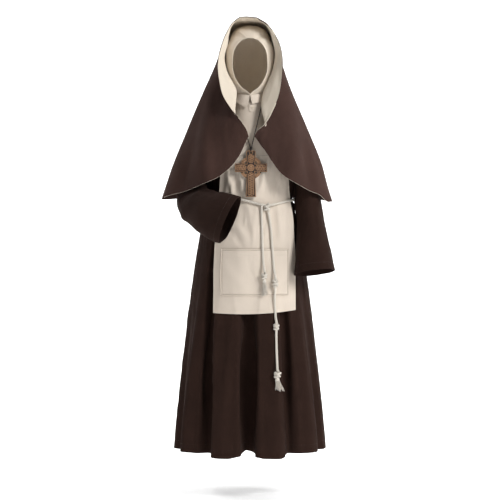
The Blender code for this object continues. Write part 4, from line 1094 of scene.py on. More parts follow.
# Yoke and placket
front_tree = cover(tunic_front)
middle, reach = 39 // 2, 11
yoke_base = coarse_front[:YOKE_ROWS + 1, middle - reach:middle + reach + 1]
yoke_base = yoke_base + normals(yoke_base) * (COTTON_THICKNESS + GAP)
yoke = keep_in_front(fine(yoke_base, 61, 91), [front_tree], COTTON_THICKNESS + 0.0006)
yoke = smoothed(yoke, 2, 0.3)
yoke = keep_in_front(yoke, [front_tree], COTTON_THICKNESS + 0.0004)
share = np.linspace(-1, 1, yoke.shape[1])[None, :]
drop = np.linspace(0, 1, yoke.shape[0])[:, None]
relief = 0.0012 * ridges(share * 5 + drop, drop * 2, 101, sharp=0.2) * smooth_step(drop, 0.1, 0.4)
yoke = yoke + normals(yoke) * relief[:, :, None]
yoke_cloth = cloth("yoke_cloth", yoke, COTTON_THICKNESS, COTTON, ["yoke"], side=-1)
yoke_tree = cover(yoke)
placket = []
for row in fine(np.array([[(PLACKET_X + half_width * step, 0, PLACKET_TOP_Z - drop_here)
                           for step in np.linspace(-1, 1, 5)] for drop_here, half_width in PLACKET_ROWS]),
                25, 25):
    placket.append([(x, (y_in_front([yoke_tree], x, z) or -0.1) - COTTON_THICKNESS - 2 * GAP, z)
                    for x, _, z in row])
placket = smoothed(np.array(placket), 4, 0.4)
placket_cloth = cloth("placket_cloth", placket, COTTON_THICKNESS, COTTON, ["placket"])

# Apron and pocket
# Folds of the apron: start (x, z), end (x, z), half width, height
APRON_FOLDS = (
    ((-0.085, -0.205), (-0.060, -0.320), 0.010, 0.0055),
    ((-0.062, -0.230), (-0.045, -0.310), 0.008, -0.0045),
    ((-0.040, -0.215), (-0.024, -0.315), 0.009, 0.0050),
    ((0.058, -0.190), (0.040, -0.300), 0.013, 0.0040),
    ((0.085, -0.175), (0.076, -0.310), 0.009, -0.0040),
    ((0.108, -0.200), (0.094, -0.315), 0.010, 0.0045),
    ((-0.090, -0.385), (-0.010, -0.480), 0.013, 0.0042),
    ((-0.085, -0.430), (-0.025, -0.505), 0.010, -0.0035),
    ((0.100, -0.360), (0.118, -0.480), 0.013, 0.0040),
    ((0.075, -0.372), (0.090, -0.470), 0.010, -0.0032),
    ((0.020, -0.372), (0.012, -0.500), 0.011, 0.0030),
    ((-0.100, -0.560), (-0.030, -0.650), 0.022, 0.0028),
    ((0.010, -0.540), (0.055, -0.640), 0.024, -0.0024),
)
coarse_yoke_z = yoke_base[-1, 0, 2]
apron_base = apron_grid(coarse_front, coarse_yoke_z - 2 * GAP)
apron = fine(apron_base, 201, 121)
apron_share = np.linspace(-1, 1, 121)[None, :] * np.ones((201, 1))
apron[:, :, 2] += (0.0050 * apron_share - 0.0075 * (1 - apron_share ** 2)) * smooth_step(
    -apron[:, :, 2], 0.690, -APRON_HEM_Z)
z = apron[:, :, 2]
x = apron[:, :, 0]
hang_free = smooth_step(-z, 0.42, 0.72)
relief = 0.0020 * noise(apron_share * 3 + 7, z / 0.16, 111)
relief += 0.0036 * (ridges(apron_share * 3.2 + 1.5 * z, z / 0.20 + 0.6 * apron_share, 112, sharp=0.12) - 0.4)
relief += 0.0040 * hang_free * noise(apron_share * 2.6 + 3, z / 0.5, 113)
away = np.abs(z - (BELT_Z - 0.012))
held = smooth_step(away, 0.008, 0.034) * (1 - smooth_step(away, 0.06, 0.18))
relief += 0.0030 * held * (0.5 + 0.5 * np.cos(2 * np.pi * (x / 0.030 + 0.6 * noise(x / 0.05, z / 0.08, 114))))
# The crease where it was folded in its packet
relief += 0.0008 * np.exp(-((x - 0.022) / 0.004) ** 2) * smooth_step(-z, 0.45, 0.5)
relief += 1.5 * laid_folds(x, z, APRON_FOLDS)
apron = apron + normals(apron) * relief[:, :, None] * smooth_step(-z, 0.175, 0.20)[:, :, None]
apron = keep_in_front(apron, [front_tree], COTTON_THICKNESS + 0.0010)
apron = smoothed(apron, 6, 0.5)
apron = keep_in_front(apron, [front_tree], COTTON_THICKNESS + 0.0006)
apron[:, :, 1] -= 0.0007 * (1 - smooth_step(0.5 * (apron[-1:, :, 2] * 0 + run_lengths(apron[::-1], 0)[::-1]),
                                           0.0060, 0.0075))
apron_cloth = cloth("apron_cloth", apron, COTTON_THICKNESS, COTTON, ["apron"])
apron_tree = cover(apron)

top = int(np.argmin(np.abs(apron[:, 60, 2] - POCKET_TOP_Z)))
bottom = int(np.argmin(np.abs(apron[:, 60, 2] - POCKET_BOTTOM_Z)))
line = apron[(top + bottom) // 2, :, 0]
first, last = (np.interp(edge, line, np.arange(len(line))) for edge in POCKET_X)
pocket = sub_grid(apron, np.linspace(top, bottom, 81), np.linspace(first, last, 121))
pocket_drop = np.linspace(0, 1, 81)[:, None] * np.ones((1, 121))
pocket_share = np.linspace(-1, 1, 121)[None, :] * np.ones((81, 1))
bulge = np.sin(np.pi * pocket_share.clip(-1, 1) * 0.5 + np.pi / 2) ** 0.5 * (1 - pocket_drop) ** 0.6
relief = 0.0010 * bulge + 0.0012 * bulge * (ridges(pocket_share * 3, pocket_drop * 2, 121, sharp=0.15) - 0.3)
relief += 0.0006 * (1 - smooth_step(pocket_drop, 0.115, 0.13))
# Rolled edges, with the groove of the stitches inside them
pocket_width = run_lengths(pocket, 1)
pocket_length = run_lengths(pocket, 0)
from_edge = np.minimum(np.minimum(pocket_width, pocket_width[:, -1:] - pocket_width),
                       pocket_length[-1:] - pocket_length)
relief += 0.0018 * np.exp(-((from_edge - 0.0018) / 0.0016) ** 2)
relief -= 0.0014 * np.exp(-((from_edge - 0.0050) / 0.0013) ** 2)
relief += 0.0016 * np.exp(-((pocket_length - 0.0018) / 0.0018) ** 2)
relief -= 0.0012 * np.exp(-((pocket_length - 0.0055) / 0.0013) ** 2)
pocket = pocket + normals(pocket) * (COTTON_THICKNESS + 2 * GAP + np.maximum(relief, -0.0006))[:, :, None]
pocket_cloth = cloth("pocket_cloth", pocket, COTTON_THICKNESS, COTTON, ["apron_pocket"])
pocket_tree = cover(pocket)

# Coif and collar
coif = fine(coif_grid(9, 23), 91, 121)
coif = coif + normals(coif) * COTTON_THICKNESS
coif_across = run_lengths(coif, 1)
face_edge = np.minimum(coif_across, coif_across[:, -1:] - coif_across)
coif_drop = np.linspace(0, 1, 91)[:, None] * np.ones((1, 121))
coif_share = np.linspace(-1, 1, 121)[None, :] * np.ones((91, 1))
band = (1 - smooth_step(face_edge, 0.0065, 0.0085)) * (1 - smooth_step(coif_drop, 0.84, 0.90))
relief = 0.0017 * band
pull = smooth_step(coif_drop, 0.45, 0.75) * smooth_step(face_edge, 0.008, 0.03)
relief += 0.0030 * pull * (ridges(coif_share * 5, coif_drop * 9 + 2 * np.abs(coif_share), 131, sharp=0.15) - 0.6)
relief += 0.0004 * noise(coif_share * 14, coif_drop * 14, 132)
relief *= smooth_step(coif_drop, 0.0, 0.02)
coif = coif + normals(coif) * relief[:, :, None]
coif_cloth = cloth("coif_cloth", coif, COTTON_THICKNESS, JERSEY, ["coif"])
collar_rows = collar_grid(25)
collar = fine(collar_rows, 31, 121)
collar_drop = np.linspace(0, 1, 31)[:, None] * np.ones((1, 121))
relief = 0.0005 * noise(np.linspace(0, 9, 121)[None, :], collar_drop * 2, 141) * smooth_step(collar_drop, 0.1, 0.5)
collar = collar + normals(collar) * relief[:, :, None]
collar_cloth = cloth("collar_cloth", collar, COTTON_THICKNESS, COTTON, ["collar"])

# Button with a rim, and thread in two loops across it
button_back = min(y_in_front([cover(placket)], PLACKET_X + across, BUTTON_Z + up) or 0
                  for across in (-0.003, 0, 0.003) for up in (-0.003, 0, 0.003)) - GAP
profile = ((0.0, 0.0012), (0.0022, 0.0012), (0.0030, 0.0013), (0.0036, 0.0021), (0.0042, 0.0021),
           (0.0045, 0.0014), (0.0045, 0.0006), (0.0041, 0.0))
sides = 40
points = [(PLACKET_X, button_back - profile[0][1], BUTTON_Z)]
for radius_here, out in profile[1:]:
    points += [(PLACKET_X + radius_here * math.cos(2 * math.pi * s / sides), button_back - out,
                BUTTON_Z + radius_here * math.sin(2 * math.pi * s / sides)) for s in range(sides)]
faces = [(0, 1 + s, 1 + (s + 1) % sides) for s in range(sides)]
for ring in range(len(profile) - 2):
    a = 1 + ring * sides
    faces += [(a + s, a + sides + s, a + sides + (s + 1) % sides, a + (s + 1) % sides) for s in range(sides)]
a = 1 + (len(profile) - 2) * sides
faces.append(tuple(a + s for s in range(sides)))
uv = [(0, 0)] * sum(len(face) for face in faces)
button = add_piece("button_disc", (np.array(points), faces, uv), BUTTON_SHELL, ["button"])
shape = bmesh.new()
shape.from_mesh(button.data)
bmesh.ops.recalc_face_normals(shape, faces=shape.faces)
shape.to_mesh(button.data)
shape.free()
thread = []
for offset in (-0.0009, 0.0009):
    thread.append(tube([(PLACKET_X + offset, button_back - 0.0010, BUTTON_Z - 0.0013),
                        (PLACKET_X + offset, button_back - 0.0017, BUTTON_Z - 0.0008),
                        (PLACKET_X + offset, button_back - 0.0019, BUTTON_Z),
                        (PLACKET_X + offset, button_back - 0.0017, BUTTON_Z + 0.0008),
                        (PLACKET_X + offset, button_back - 0.0010, BUTTON_Z + 0.0013)], 0.00035, 6))
add_piece("button_thread", joined(thread), THREAD_CREAM)

# Veil and lining
VEIL_ROWS_FINE, VEIL_COLUMNS_FINE = 151, 177
veil_base = fine(veil_grid(), VEIL_ROWS_FINE, VEIL_COLUMNS_FINE)
veil_base = veil_base + normals(veil_base) * (LINING_THICKNESS + 3 * GAP + VEIL_THICKNESS)
down = np.linspace(0, 1, VEIL_ROWS_FINE)[:, None] * np.ones((1, VEIL_COLUMNS_FINE))
across = np.linspace(-1, 1, VEIL_COLUMNS_FINE)[None, :] * np.ones((VEIL_ROWS_FINE, 1))
cape = smooth_step(down, 0.40, 0.95)
back_part = 1 - smooth_step(np.abs(across), 0.45, 0.75)
edge_length = run_lengths(veil_base, 1)
edge_distance = np.minimum(edge_length, edge_length[:, -1:] - edge_length)
free_edge = smooth_step(edge_distance, 0.0, 0.03)
# Folds of the cape's front: start (x, z), end (x, z), half width, height
CAPE_FOLDS = (
    ((0.212, -0.105), (0.258, -0.300), 0.011, 0.0075),
    ((0.180, -0.130), (0.222, -0.300), 0.014, -0.0050),
    ((0.120, 0.010), (0.150, -0.230), 0.026, 0.0050),
    ((-0.250, -0.165), (-0.287, -0.315), 0.011, 0.0070),
    ((-0.215, -0.170), (-0.248, -0.300), 0.013, -0.0050),
    ((-0.140, 0.000), (-0.185, -0.250), 0.028, 0.0050),
    ((-0.085, -0.060), (-0.120, -0.230), 0.022, -0.0035),
    ((0.085, -0.060), (0.095, -0.200), 0.020, -0.0035),
)
outward = normals(veil_base)
# No relief where the cloth turns away at the sides, so that the outline stays
turned = smooth_step(np.abs(outward[:, :, 0]), 0.55, 0.88)
front = veil_base[:, :, 1] < 0
relief = np.where(front, laid_folds(veil_base[:, :, 0], veil_base[:, :, 2], CAPE_FOLDS), 0)
relief += 0.0030 * cape * (ridges(across * 7 + 0.6 * down, down * 1.6, 151, sharp=0.10) - 0.5)
relief += 0.0160 * cape * back_part * (0.5 + 0.5 * np.cos(2 * np.pi * (across * 4.5 + 0.25 * noise(
    across * 3, down * 2, 152)))) ** 1.5
relief += 0.0016 * smooth_step(down, 0.15, 0.4) * noise(across * 9, down * 3.5, 153)
relief += 0.0006 * noise(across * 26, down * 17, 154)
relief = relief * (0.15 + 0.85 * free_edge) * (1 - turned) - 0.0020 * turned * cape
relief = np.maximum(relief, -0.0045)
veil = veil_base + outward * relief[:, :, None]
corner = np.exp(-((veil[:, :, 0] - 0.283) / 0.018) ** 2) * (veil[:, :, 1] < 0) * smooth_step(down, 0.82, 1.0)
veil[:, :, 2] -= 0.015 * corner
veil_cloth = cloth("veil_cloth_shell", veil, VEIL_THICKNESS, VEIL_CLOTH, ["veil"])
lining_last = round((LINING_ROWS - 1) / (VEIL_ROWS - 1) * (VEIL_ROWS_FINE - 1)) + 1
lining_base = (veil - normals(veil) * (VEIL_THICKNESS + 3 * GAP))[:lining_last]
lining_edge, lining_down, lining_across = (field[:lining_last] for field in (edge_distance, down, across))
front_band = smooth_step(lining_edge, 0.004, 0.045) * (1 - smooth_step(lining_edge, 0.10, 0.19))
hood = smooth_step(lining_down, 0.05, 0.15) * (1 - smooth_step(lining_down, 0.45, 0.60))
right_shade = np.where(lining_across < 0, 1.0, 0.35)
inward = 0.0075 * front_band * hood * right_shade * ridges(
    lining_edge / 0.034 + 3 - 0.6 * np.sign(lining_across), lining_down * 5, 161, sharp=0.08)
inward += 0.0010 * smooth_step(lining_edge, 0.004, 0.02) * hood * (0.5 + 0.5 * noise(
    lining_edge / 0.014, lining_down * 14, 162))
# A short fold of the lining over the brow, at the wearer's right
inward += 0.0060 * np.exp(-((lining_base[:, :, 0] + 0.026) / 0.009) ** 2
                          - ((lining_base[:, :, 1] + 0.098) / 0.017) ** 2) * (lining_base[:, :, 2] > 0.2)
lining = lining_base - normals(lining_base) * inward[:, :, None]
lining_cloth = cloth("veil_lining_cloth", lining, LINING_THICKNESS, LINING, ["veil_lining"])


def edge_strip(name, line, inner_line, outward_line, radius, material):
    """Narrow turned edge of the lining, which shows along the edge of the veil."""
    away = line - inner_line
    away /= np.linalg.norm(away, axis=1, keepdims=True)
    route = line + away * 0.4 * radius - outward_line * VEIL_THICKNESS
    return add_piece(name, tube(evenly(route, 0.004), radius, 6), material)


veil_out = normals(veil)
edge_first = int(0.72 * VEIL_ROWS_FINE)
for name, column, inner_column in (("left", 0, 1), ("right", -1, -2)):
    wearers_left = veil[edge_first, column, 0] > 0
    line_first = int(0.56 * VEIL_ROWS_FINE) if wearers_left else edge_first
    edge_strip(f"veil_edge_{name}", veil[line_first:, column], veil[line_first:, inner_column],
               veil_out[line_first:, column], 0.0009 if wearers_left else 0.0006, LINING)
    edge_strip(f"veil_rim_{name}", veil[:line_first + 1, column], veil[:line_first + 1, inner_column],
               veil_out[:line_first + 1, column], 0.0013, VEIL_CLOTH)
edge_strip("veil_rim_top", veil[0], veil[1], veil_out[0], 0.0013, VEIL_CLOTH)
front_columns = int(0.36 * VEIL_COLUMNS_FINE)
for name, span in (("left", slice(0, front_columns)), ("right", slice(-front_columns, None))):
    edge_strip(f"veil_hem_edge_{name}", veil[-1, span], veil[-2, span], veil_out[-1, span], 0.0006, LINING)

# Stitching
stitches("apron_stitches", [seam_line(apron, "left", 0.011), seam_line(apron, "right", 0.011),
                            seam_line(apron, "bottom", 0.013), seam_line(apron, "top", 0.006)],
         THREAD_CREAM)
# The pocket's stitches, in thread darkened as painted shade of its seam.
stitches("pocket_stitches", [seam_line(pocket, "left", 0.0050), seam_line(pocket, "right", 0.0050),
                             seam_line(pocket, "bottom", 0.0050), seam_line(pocket, "top", 0.0055)],
         THREAD_TAN_AND_SEAM_SHADE, pitch=0.0034, width=0.00065)
stitches("yoke_stitches", [seam_line(yoke, "left", 0.005), seam_line(yoke, "right", 0.005),
                           seam_line(yoke, "bottom", 0.006)], THREAD_CREAM)
stitches("collar_stitches", [seam_line(collar, "bottom", 0.004), seam_line(collar, "left", 0.004),
                             seam_line(collar, "right", 0.004)], THREAD_CREAM, pitch=0.003)
stitches("placket_stitches", [seam_line(placket, "bottom", 0.003), seam_line(placket, "left", 0.003),
                              seam_line(placket, "right", 0.003)], THREAD_CREAM,
         pitch=0.003, trim=0.002)
stitches("coif_stitches", [seam_line(coif, "left", 0.009), seam_line(coif, "right", 0.009),
                           seam_line(coif, "top", 0.009)], THREAD_CREAM, pitch=0.003)
stitches("veil_stitches", [seam_line(veil, "left", 0.009), seam_line(veil, "right", 0.009),
                           seam_line(veil, "top", 0.009), seam_line(veil, "bottom", 0.012)],
         THREAD_BROWN, pitch=0.0045)
wrapped = np.concatenate((sleeves["left"][0], sleeves["left"][0][:, :1]), axis=1)
wrapped_right = np.concatenate((sleeves["right"][0], sleeves["right"][0][:, :1]), axis=1)
stitches("hem_stitches", [seam_line(tunic_front, "bottom", 0.030), seam_line(tunic_back, "bottom", 0.030),
                          seam_line(wrapped, "bottom", 0.026), seam_line(wrapped_right, "bottom", 0.026)],
         THREAD_BROWN, pitch=0.0055)

# Rope: belt, knots and free ends
front_trees = [front_tree, apron_tree, pocket_tree]
back_tree = cover(tunic_back)
belt_width, belt_front, belt_back = (size + 0.0085 for size in tunic_ring(BELT_Z - 0.01))
belt_front += 0.0030
knot_x, knot_z = BELT_KNOT


def cad_front_of(x, z, lift, reach, drop):
    """Place in front of the coarse cloth, the same as in the solids."""
    depths = []
    for layer in (coarse_front, apron_base, coarse_pocket):
        for step in (-reach, 0.0, reach):
            for lower in (0.0, 0.5 * drop, drop):
                depths.append(depth_on(layer, x + step, z - lower))
    return (x, min(depths) - lift, z)


coarse_pocket = pocket_grid(apron_base)
coarse_pocket = coarse_pocket + normals(coarse_pocket) * (COTTON_THICKNESS + 2 * GAP)
belt_knot = np.array(cad_front_of(knot_x, knot_z, BELT_KNOT_SIZE[1] + 0.0008, 0.010, 0.0))
knot_turn = math.asin(knot_x / belt_width)
knot_gap = (BELT_KNOT_SIZE[0] - 4 * GAP) / (belt_front * 1.1)
belt_route = []
for step in range(241):
    turn = knot_turn + knot_gap + (2 * math.pi - 2 * knot_gap) * step / 240
    depth = belt_front if math.cos(turn) > 0 else belt_back
    x, y = belt_width * math.sin(turn), -depth * math.cos(turn)
    near = math.exp(-((x - knot_x) / 0.030) ** 2) if y < 0 else 0
    sag = BELT_SAG * math.exp(-((x - knot_x) / 0.075) ** 2) if y < 0 else 0
    z_here = BELT_Z - sag
    y += near * (belt_knot[1] + belt_front * math.cos(knot_turn))
    if y < -0.02:
        surface = y_in_front([front_tree, apron_tree], x, z_here)
        if surface is not None:
            y = min(y, surface - ROPE_RADIUS - 0.0004)
    belt_route.append((x, y, z_here))
belt_route = np.array(belt_route)
# Run on into the knot at both ends
inside = belt_knot + (0, -0.001, 0.002)
belt_route = np.concatenate(([inside], belt_route, [inside]))
belt_route = evenly(belt_route, 0.0011, smooth=False)
belt_rope = add_piece("belt_rope", laid_rope(belt_route, ROPE_RADIUS, 0.021), ROPE_COTTON, ["belt"])


def coil(centre, half_width, half_depth, half_height, turns, tilt, radius, start_turn=0.0):
    """Route of a rope wound round its own line, slanting by tilt."""
    count = int(turns * 40) + 1
    share = np.linspace(0, 1, count)
    angle = start_turn + 2 * np.pi * turns * share
    reach = np.sin(np.pi * np.clip(share, 0.02, 0.98)) ** 0.35
    x = (half_width - radius) * reach * np.cos(angle)
    y = (half_depth - radius * 0.9) * reach * np.sin(angle)
    z = (half_height - radius) * (1 - 2 * share)
    return np.stack((centre[0] + x, centre[1] + y, centre[2] + z + tilt * x), axis=1)


def knot_piece(name, centre, half_width, half_depth, half_height, turns, tilt, nodes):
    """Rope knot: slanting turns, with one bight laid across them."""
    radius = 0.92 * ROPE_RADIUS
    parts = [laid_rope(evenly(coil(centre, half_width, half_depth, half_height, turns, tilt, radius), 0.0011),
                       radius, 0.018)]
    bight = [(centre[0] - 0.62 * half_width, centre[1] - 0.15 * half_depth, centre[2] + 0.55 * half_height),
             (centre[0] - 0.35 * half_width, centre[1] - 0.50 * half_depth, centre[2] + 0.30 * half_height),
             (centre[0] + 0.15 * half_width, centre[1] - 0.62 * half_depth, centre[2] - 0.10 * half_height),
             (centre[0] + 0.50 * half_width, centre[1] - 0.35 * half_depth, centre[2] - 0.42 * half_height),
             (centre[0] + 0.55 * half_width, centre[1] + 0.10 * half_depth, centre[2] - 0.60 * half_height)]
    parts.append(laid_rope(evenly(bight, 0.0011), radius, 0.018, phase=1.0))
    return add_piece(name, joined(parts), ROPE_COTTON, nodes)


knot_piece("belt_knot_rope", belt_knot, BELT_KNOT_SIZE[0] + 0.001, BELT_KNOT_SIZE[1] + 0.001,
           BELT_KNOT_SIZE[2] + 0.001, 2.3, 0.5, ["belt_knot"])
knots, knot_pieces = {}, {}
for knot_name, (x, z, half_width, half_height, fringe) in TAIL_KNOTS.items():
    place = cad_front_of(x, z + half_height, KNOT_HALF_DEPTH + 0.0014, half_width, 2 * half_height + fringe)
    centre = np.array((x, place[1], z))
    knot_pieces[knot_name] = knot_piece(f"knot_{knot_name}_rope", centre, half_width + 0.001,
                                        KNOT_HALF_DEPTH + 0.001, half_height + 0.001,
                                        2.0 if half_height < 0.016 else 2.8, 0.45, [f"knot_{knot_name}"])
    end = np.array((0, 0, half_height + GAP))
    knots[knot_name] = (centre + end, centre - end)
under_knot = belt_knot - (0, 0, BELT_KNOT_SIZE[2] + GAP)
long_start = under_knot + (0.0050, 0, 0)
# The short end comes out from under the belt, beside the knot
belt_front_places = [place for place in belt_route if place[1] < 0]
belt_there = min(belt_front_places, key=lambda place: abs(place[0] - SHORT_TAIL_X))
short_start = np.array((SHORT_TAIL_X, belt_there[1], belt_there[2] - ROPE_RADIUS - 2 * GAP))


def free_rope(points, start, end):
    """Route of a rope between two knots, in front of the cloth."""
    first, last = np.array(start), np.array(end)
    route = [first, first - (0, 0, 0.007)]
    depth = start[1] + 0.002
    for x, z in points:
        depth = min(depth, cad_front_of(x, z, ROPE_RADIUS + 0.0010, 0.004, 0.012)[1])
        route.append(np.array((x, depth, z)))
    route += [last + (0, 0, 0.007), last]
    route = evenly(route, 0.0011)
    for point in route:
        surface = y_in_front(front_trees, point[0], point[2])
        if surface is not None:
            point[1] = min(point[1], surface - ROPE_RADIUS - 0.0003)
    for _ in range(60):
        route[1:-1, 1] = 0.5 * route[1:-1, 1] + 0.25 * (route[:-2, 1] + route[2:, 1])
    return route


def fringe_piece(name, top, length, top_radius, end_radius, strands, nodes, lean=0.0):
    """Cut strands below a knot, with a head that holds their roots."""
    rng = np.random.default_rng(len(name))
    parts = []
    head = [(top[0], top[1], top[2] + 0.002), (top[0], top[1], top[2] - 0.004), (top[0], top[1], top[2] - 0.010)]
    parts.append(tube(evenly(head, 0.002), top_radius, 16,
                      taper=np.interp(np.linspace(0, 1, 8), (0, 0.3, 0.7, 1), (0.55, 0.95, 0.98, 0.85))))
    for index in range(strands):
        reach = math.sqrt((index + 0.5) / strands)
        turn = 2.399963 * index
        long = length * rng.uniform(0.80, 1.0)
        bend, swing = rng.uniform(-0.0045, 0.0045, 2)
        wave_size, wave_count, wave_start = rng.uniform(0.0008, 0.0022), rng.uniform(5, 10), rng.uniform(0, 6)
        spread_more = rng.uniform(0.75, 1.15)
        route = []
        for share in np.linspace(0, 1, 15):
            spread = (top_radius - 0.0012) * reach + (end_radius - top_radius) * reach * spread_more * share ** 1.2
            wave = math.sin(wave_start + wave_count * share) * wave_size * min(1, 3 * share)
            route.append((top[0] + spread * math.cos(turn) + bend * share ** 2 + wave + lean * share,
                          top[1] + (1 - 0.45 * share) * spread * math.sin(turn) + swing * 0.3 * share ** 2,
                          top[2] - 0.005 - (long - 0.005) * share))
        parts.append(laid_rope(evenly(route, 0.0014), rng.uniform(0.0010, 0.0014), 0.005, strands=2, sides=5))
    return add_piece(name, joined(parts), ROPE_COTTON, nodes)


short_tassel = fringe_piece("tassel_short_fringe", knots["short"][1] - (0, 0, GAP), TAIL_KNOTS["short"][4],
                            0.0070, 0.0135, 22, ["tassel_short"])
long_tassel = fringe_piece("tassel_long_fringe", knots["long_lower"][1] - (0, 0, GAP),
                           0.84 * TAIL_KNOTS["long_lower"][4], 0.0080, 0.0175, 34, ["tassel_long"], lean=0.009)
short_route = free_rope(SHORT_TAIL, short_start, knots["short"][0])
long_route = np.concatenate((free_rope(LONG_TAIL_TOP, long_start, knots["long_upper"][0]),
                             free_rope(LONG_TAIL_MIDDLE, knots["long_upper"][1], knots["long_middle"][0]),
                             free_rope(LONG_TAIL_END, knots["long_middle"][1], knots["long_lower"][0])))
long_route = evenly(long_route, 0.0011, smooth=False)
short_rope = add_piece("tail_short_rope", laid_rope(short_route, ROPE_RADIUS, 0.021), ROPE_COTTON,
                       ["tail_short"])
long_rope = add_piece("tail_long_rope", laid_rope(long_route, ROPE_RADIUS, 0.021), ROPE_COTTON,
                      ["tail_long_top", "tail_long_middle", "tail_long_end"])


# Cross
cx, cz = CROSS_CENTRE
cad_low, cad_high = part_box("cross")
cross_front, cross_back = cad_low[1], cad_high[1]
ground = bpy.data.objects.new("cross_body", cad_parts["cross"].data.copy())
ground.data.name = "cross_body"
bpy.context.collection.objects.link(ground)
# The cross's body takes the near-black ground, painted shade in the hollows between the raised strands.
ground.data.materials.clear()
ground.data.materials.append(CARVED_HOLLOW_AND_SHADE)
soften = ground.modifiers.new("soft_edges", "BEVEL")
soften.width = 0.0009
soften.segments = 2
soften.limit_method = "ANGLE"
soften.angle_limit = math.radians(35)
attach(ground, "root")
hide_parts("cross")
ring_front = cross_front + 0.0015


def braid(start, end, amplitudes, strands, turns, radius, height, front):
    """Flat plait along a line of the cross; an odd number of strands goes over and under in turn."""
    start, end = np.array(start), np.array(end)
    along = end - start
    length = np.linalg.norm(along)
    along = along / length
    side = np.array((-along[1], along[0]))
    parts = []
    count = int(length / 0.0009)
    share = np.linspace(0, 1, count)
    wide = np.interp(share, (0, 1), amplitudes)
    # Strands turn back together at both ends
    wide = wide * np.minimum(1, np.minimum(share, 1 - share) * length / 0.006 + 0.35)
    for strand in range(strands):
        t = 2 * np.pi * (turns * share + strand / strands)
        offset = wide * np.sin(t)
        up = height * (np.sin((strands - 1) * t) if strands > 2 else np.cos(t) * (1 if strand else -1) * 1.0)
        if strands == 2:
            up = height * np.cos(t)
        flat = start + np.outer(share * length, along) + np.outer(offset, side)
        route = np.stack((cx + flat[:, 0], front - 0.0002 - up, cz + flat[:, 1]), axis=1)
        parts.append(tube(route, radius, 6))
    return parts


parts = []
parts += braid((0, -0.0165), (0, -0.101), (0.0088, 0.0118), 3, 4.5, 0.00110, 0.0006, cross_front)
parts += braid((-0.0165, 0), (-0.0550, 0), (0.0085, 0.0098), 3, 2.2, 0.00110, 0.0006, cross_front)
parts += braid((0.0165, 0), (0.0550, 0), (0.0085, 0.0098), 3, 2.2, 0.00110, 0.0006, cross_front)
parts += braid((0, 0.0165), (0, 0.0470), (0.0085, 0.0098), 3, 1.7, 0.00110, 0.0006, cross_front)
# The boss at the crossing: a ring round a knot of four loops
for radius_here, thick in ((0.0118, 0.0012), (0.0030, 0.0012)):
    turn = np.linspace(0, 2 * np.pi, 73)[:-1]
    route = np.stack((cx + radius_here * np.cos(turn), np.full(72, cross_front - 0.0003),
                      cz + radius_here * np.sin(turn)), axis=1)
    parts.append(tube(route, thick, 6, closed=True))
turn = np.linspace(0, 2 * np.pi, 241)[:-1]
loops = 0.0067 + 0.0036 * np.cos(8 * turn / 2 * 1.0 + 0)
for phase in (0.0, math.pi / 4):
    loops = 0.0070 + 0.0034 * np.cos(4 * (turn - phase) * 1.0 + np.pi)
    route = np.stack((cx + loops * np.cos(turn), cross_front - 0.0002 - 0.0006 * np.cos(8 * turn + (0 if phase else np.pi)),
                      cz + loops * np.sin(turn)), axis=1)
    parts.append(tube(route, 0.00105, 6, closed=True))
# Twist of two strands on each quarter of the ring
for quarter in range(4):
    begin = math.radians(90 * quarter) + math.asin(0.0165 / 0.0350)
    finish_at = math.radians(90 * (quarter + 1)) - math.asin(0.0165 / 0.0350)
    turn = np.linspace(begin, finish_at, 60)
    share = np.linspace(0, 1, 60)
    for strand in (0, 1):
        t = np.pi * (4 * share + strand) + 0.3
        reach = 0.0350 + 0.0030 * np.sin(t)
        route = np.stack((cx + reach * np.cos(turn), ring_front - 0.0002 - 0.0007 * np.cos(t),
                          cz + reach * np.sin(turn)), axis=1)
        parts.append(tube(route, 0.0011, 6))
    # Raised edges of the ring
    for reach in (0.0300, 0.0400):
        route = np.stack((cx + reach * np.cos(turn), np.full(60, ring_front - 0.0002), cz + reach * np.sin(turn)),
                         axis=1)
        parts.append(tube(route, 0.0009, 6))
# Raised edge along the outline of the arms
w, a, e, f = SHAFT_HALF_WIDTH, ARM_HALF_HEIGHT, ARM_END_HALF_HEIGHT, FOOT_HALF_WIDTH
inset = 0.0013
edges = [[(-w + inset, -a + inset), (-f + inset, -CROSS_FOOT + inset), (f - inset, -CROSS_FOOT + inset),
          (w - inset, -a + inset)],
         [(w - inset, -a + inset), (CROSS_HALF_SPAN - inset, -e + inset), (CROSS_HALF_SPAN - inset, e - inset),
          (w - inset, a - inset)],
         [(w - inset, a - inset), (1.18 * w - inset, CROSS_TOP - 0.010), (1.18 * w - inset, CROSS_TOP - 0.004),
          (0.8 * w, CROSS_TOP - inset), (-0.8 * w, CROSS_TOP - inset), (-1.18 * w + inset, CROSS_TOP - 0.004),
          (-1.18 * w + inset, CROSS_TOP - 0.010), (-w + inset, a - inset)],
         [(-w + inset, a - inset), (-CROSS_HALF_SPAN + inset, e - inset), (-CROSS_HALF_SPAN + inset, -e + inset),
          (-w + inset, -a + inset)]]
for edge in edges:
    route = np.array([(cx + x, cross_front - 0.0001, cz + z) for x, z in edge])
    parts.append(tube(evenly(route, 0.0012, smooth=False), 0.0010, 6))
relief_piece = add_piece("cross_knotwork", joined(parts), CARVED)
# Collar of the hole for the cord
turn = np.linspace(0, 2 * np.pi, 37)[:-1]
route = np.stack((cx + 0.0060 * np.cos(turn), np.full(36, cross_front - 0.0001),
                  cz + CORD_HOLE_UP + 0.0060 * np.sin(turn)), axis=1)
add_piece("cross_hole_rim", tube(route, 0.0009, 6, closed=True), CARVED)

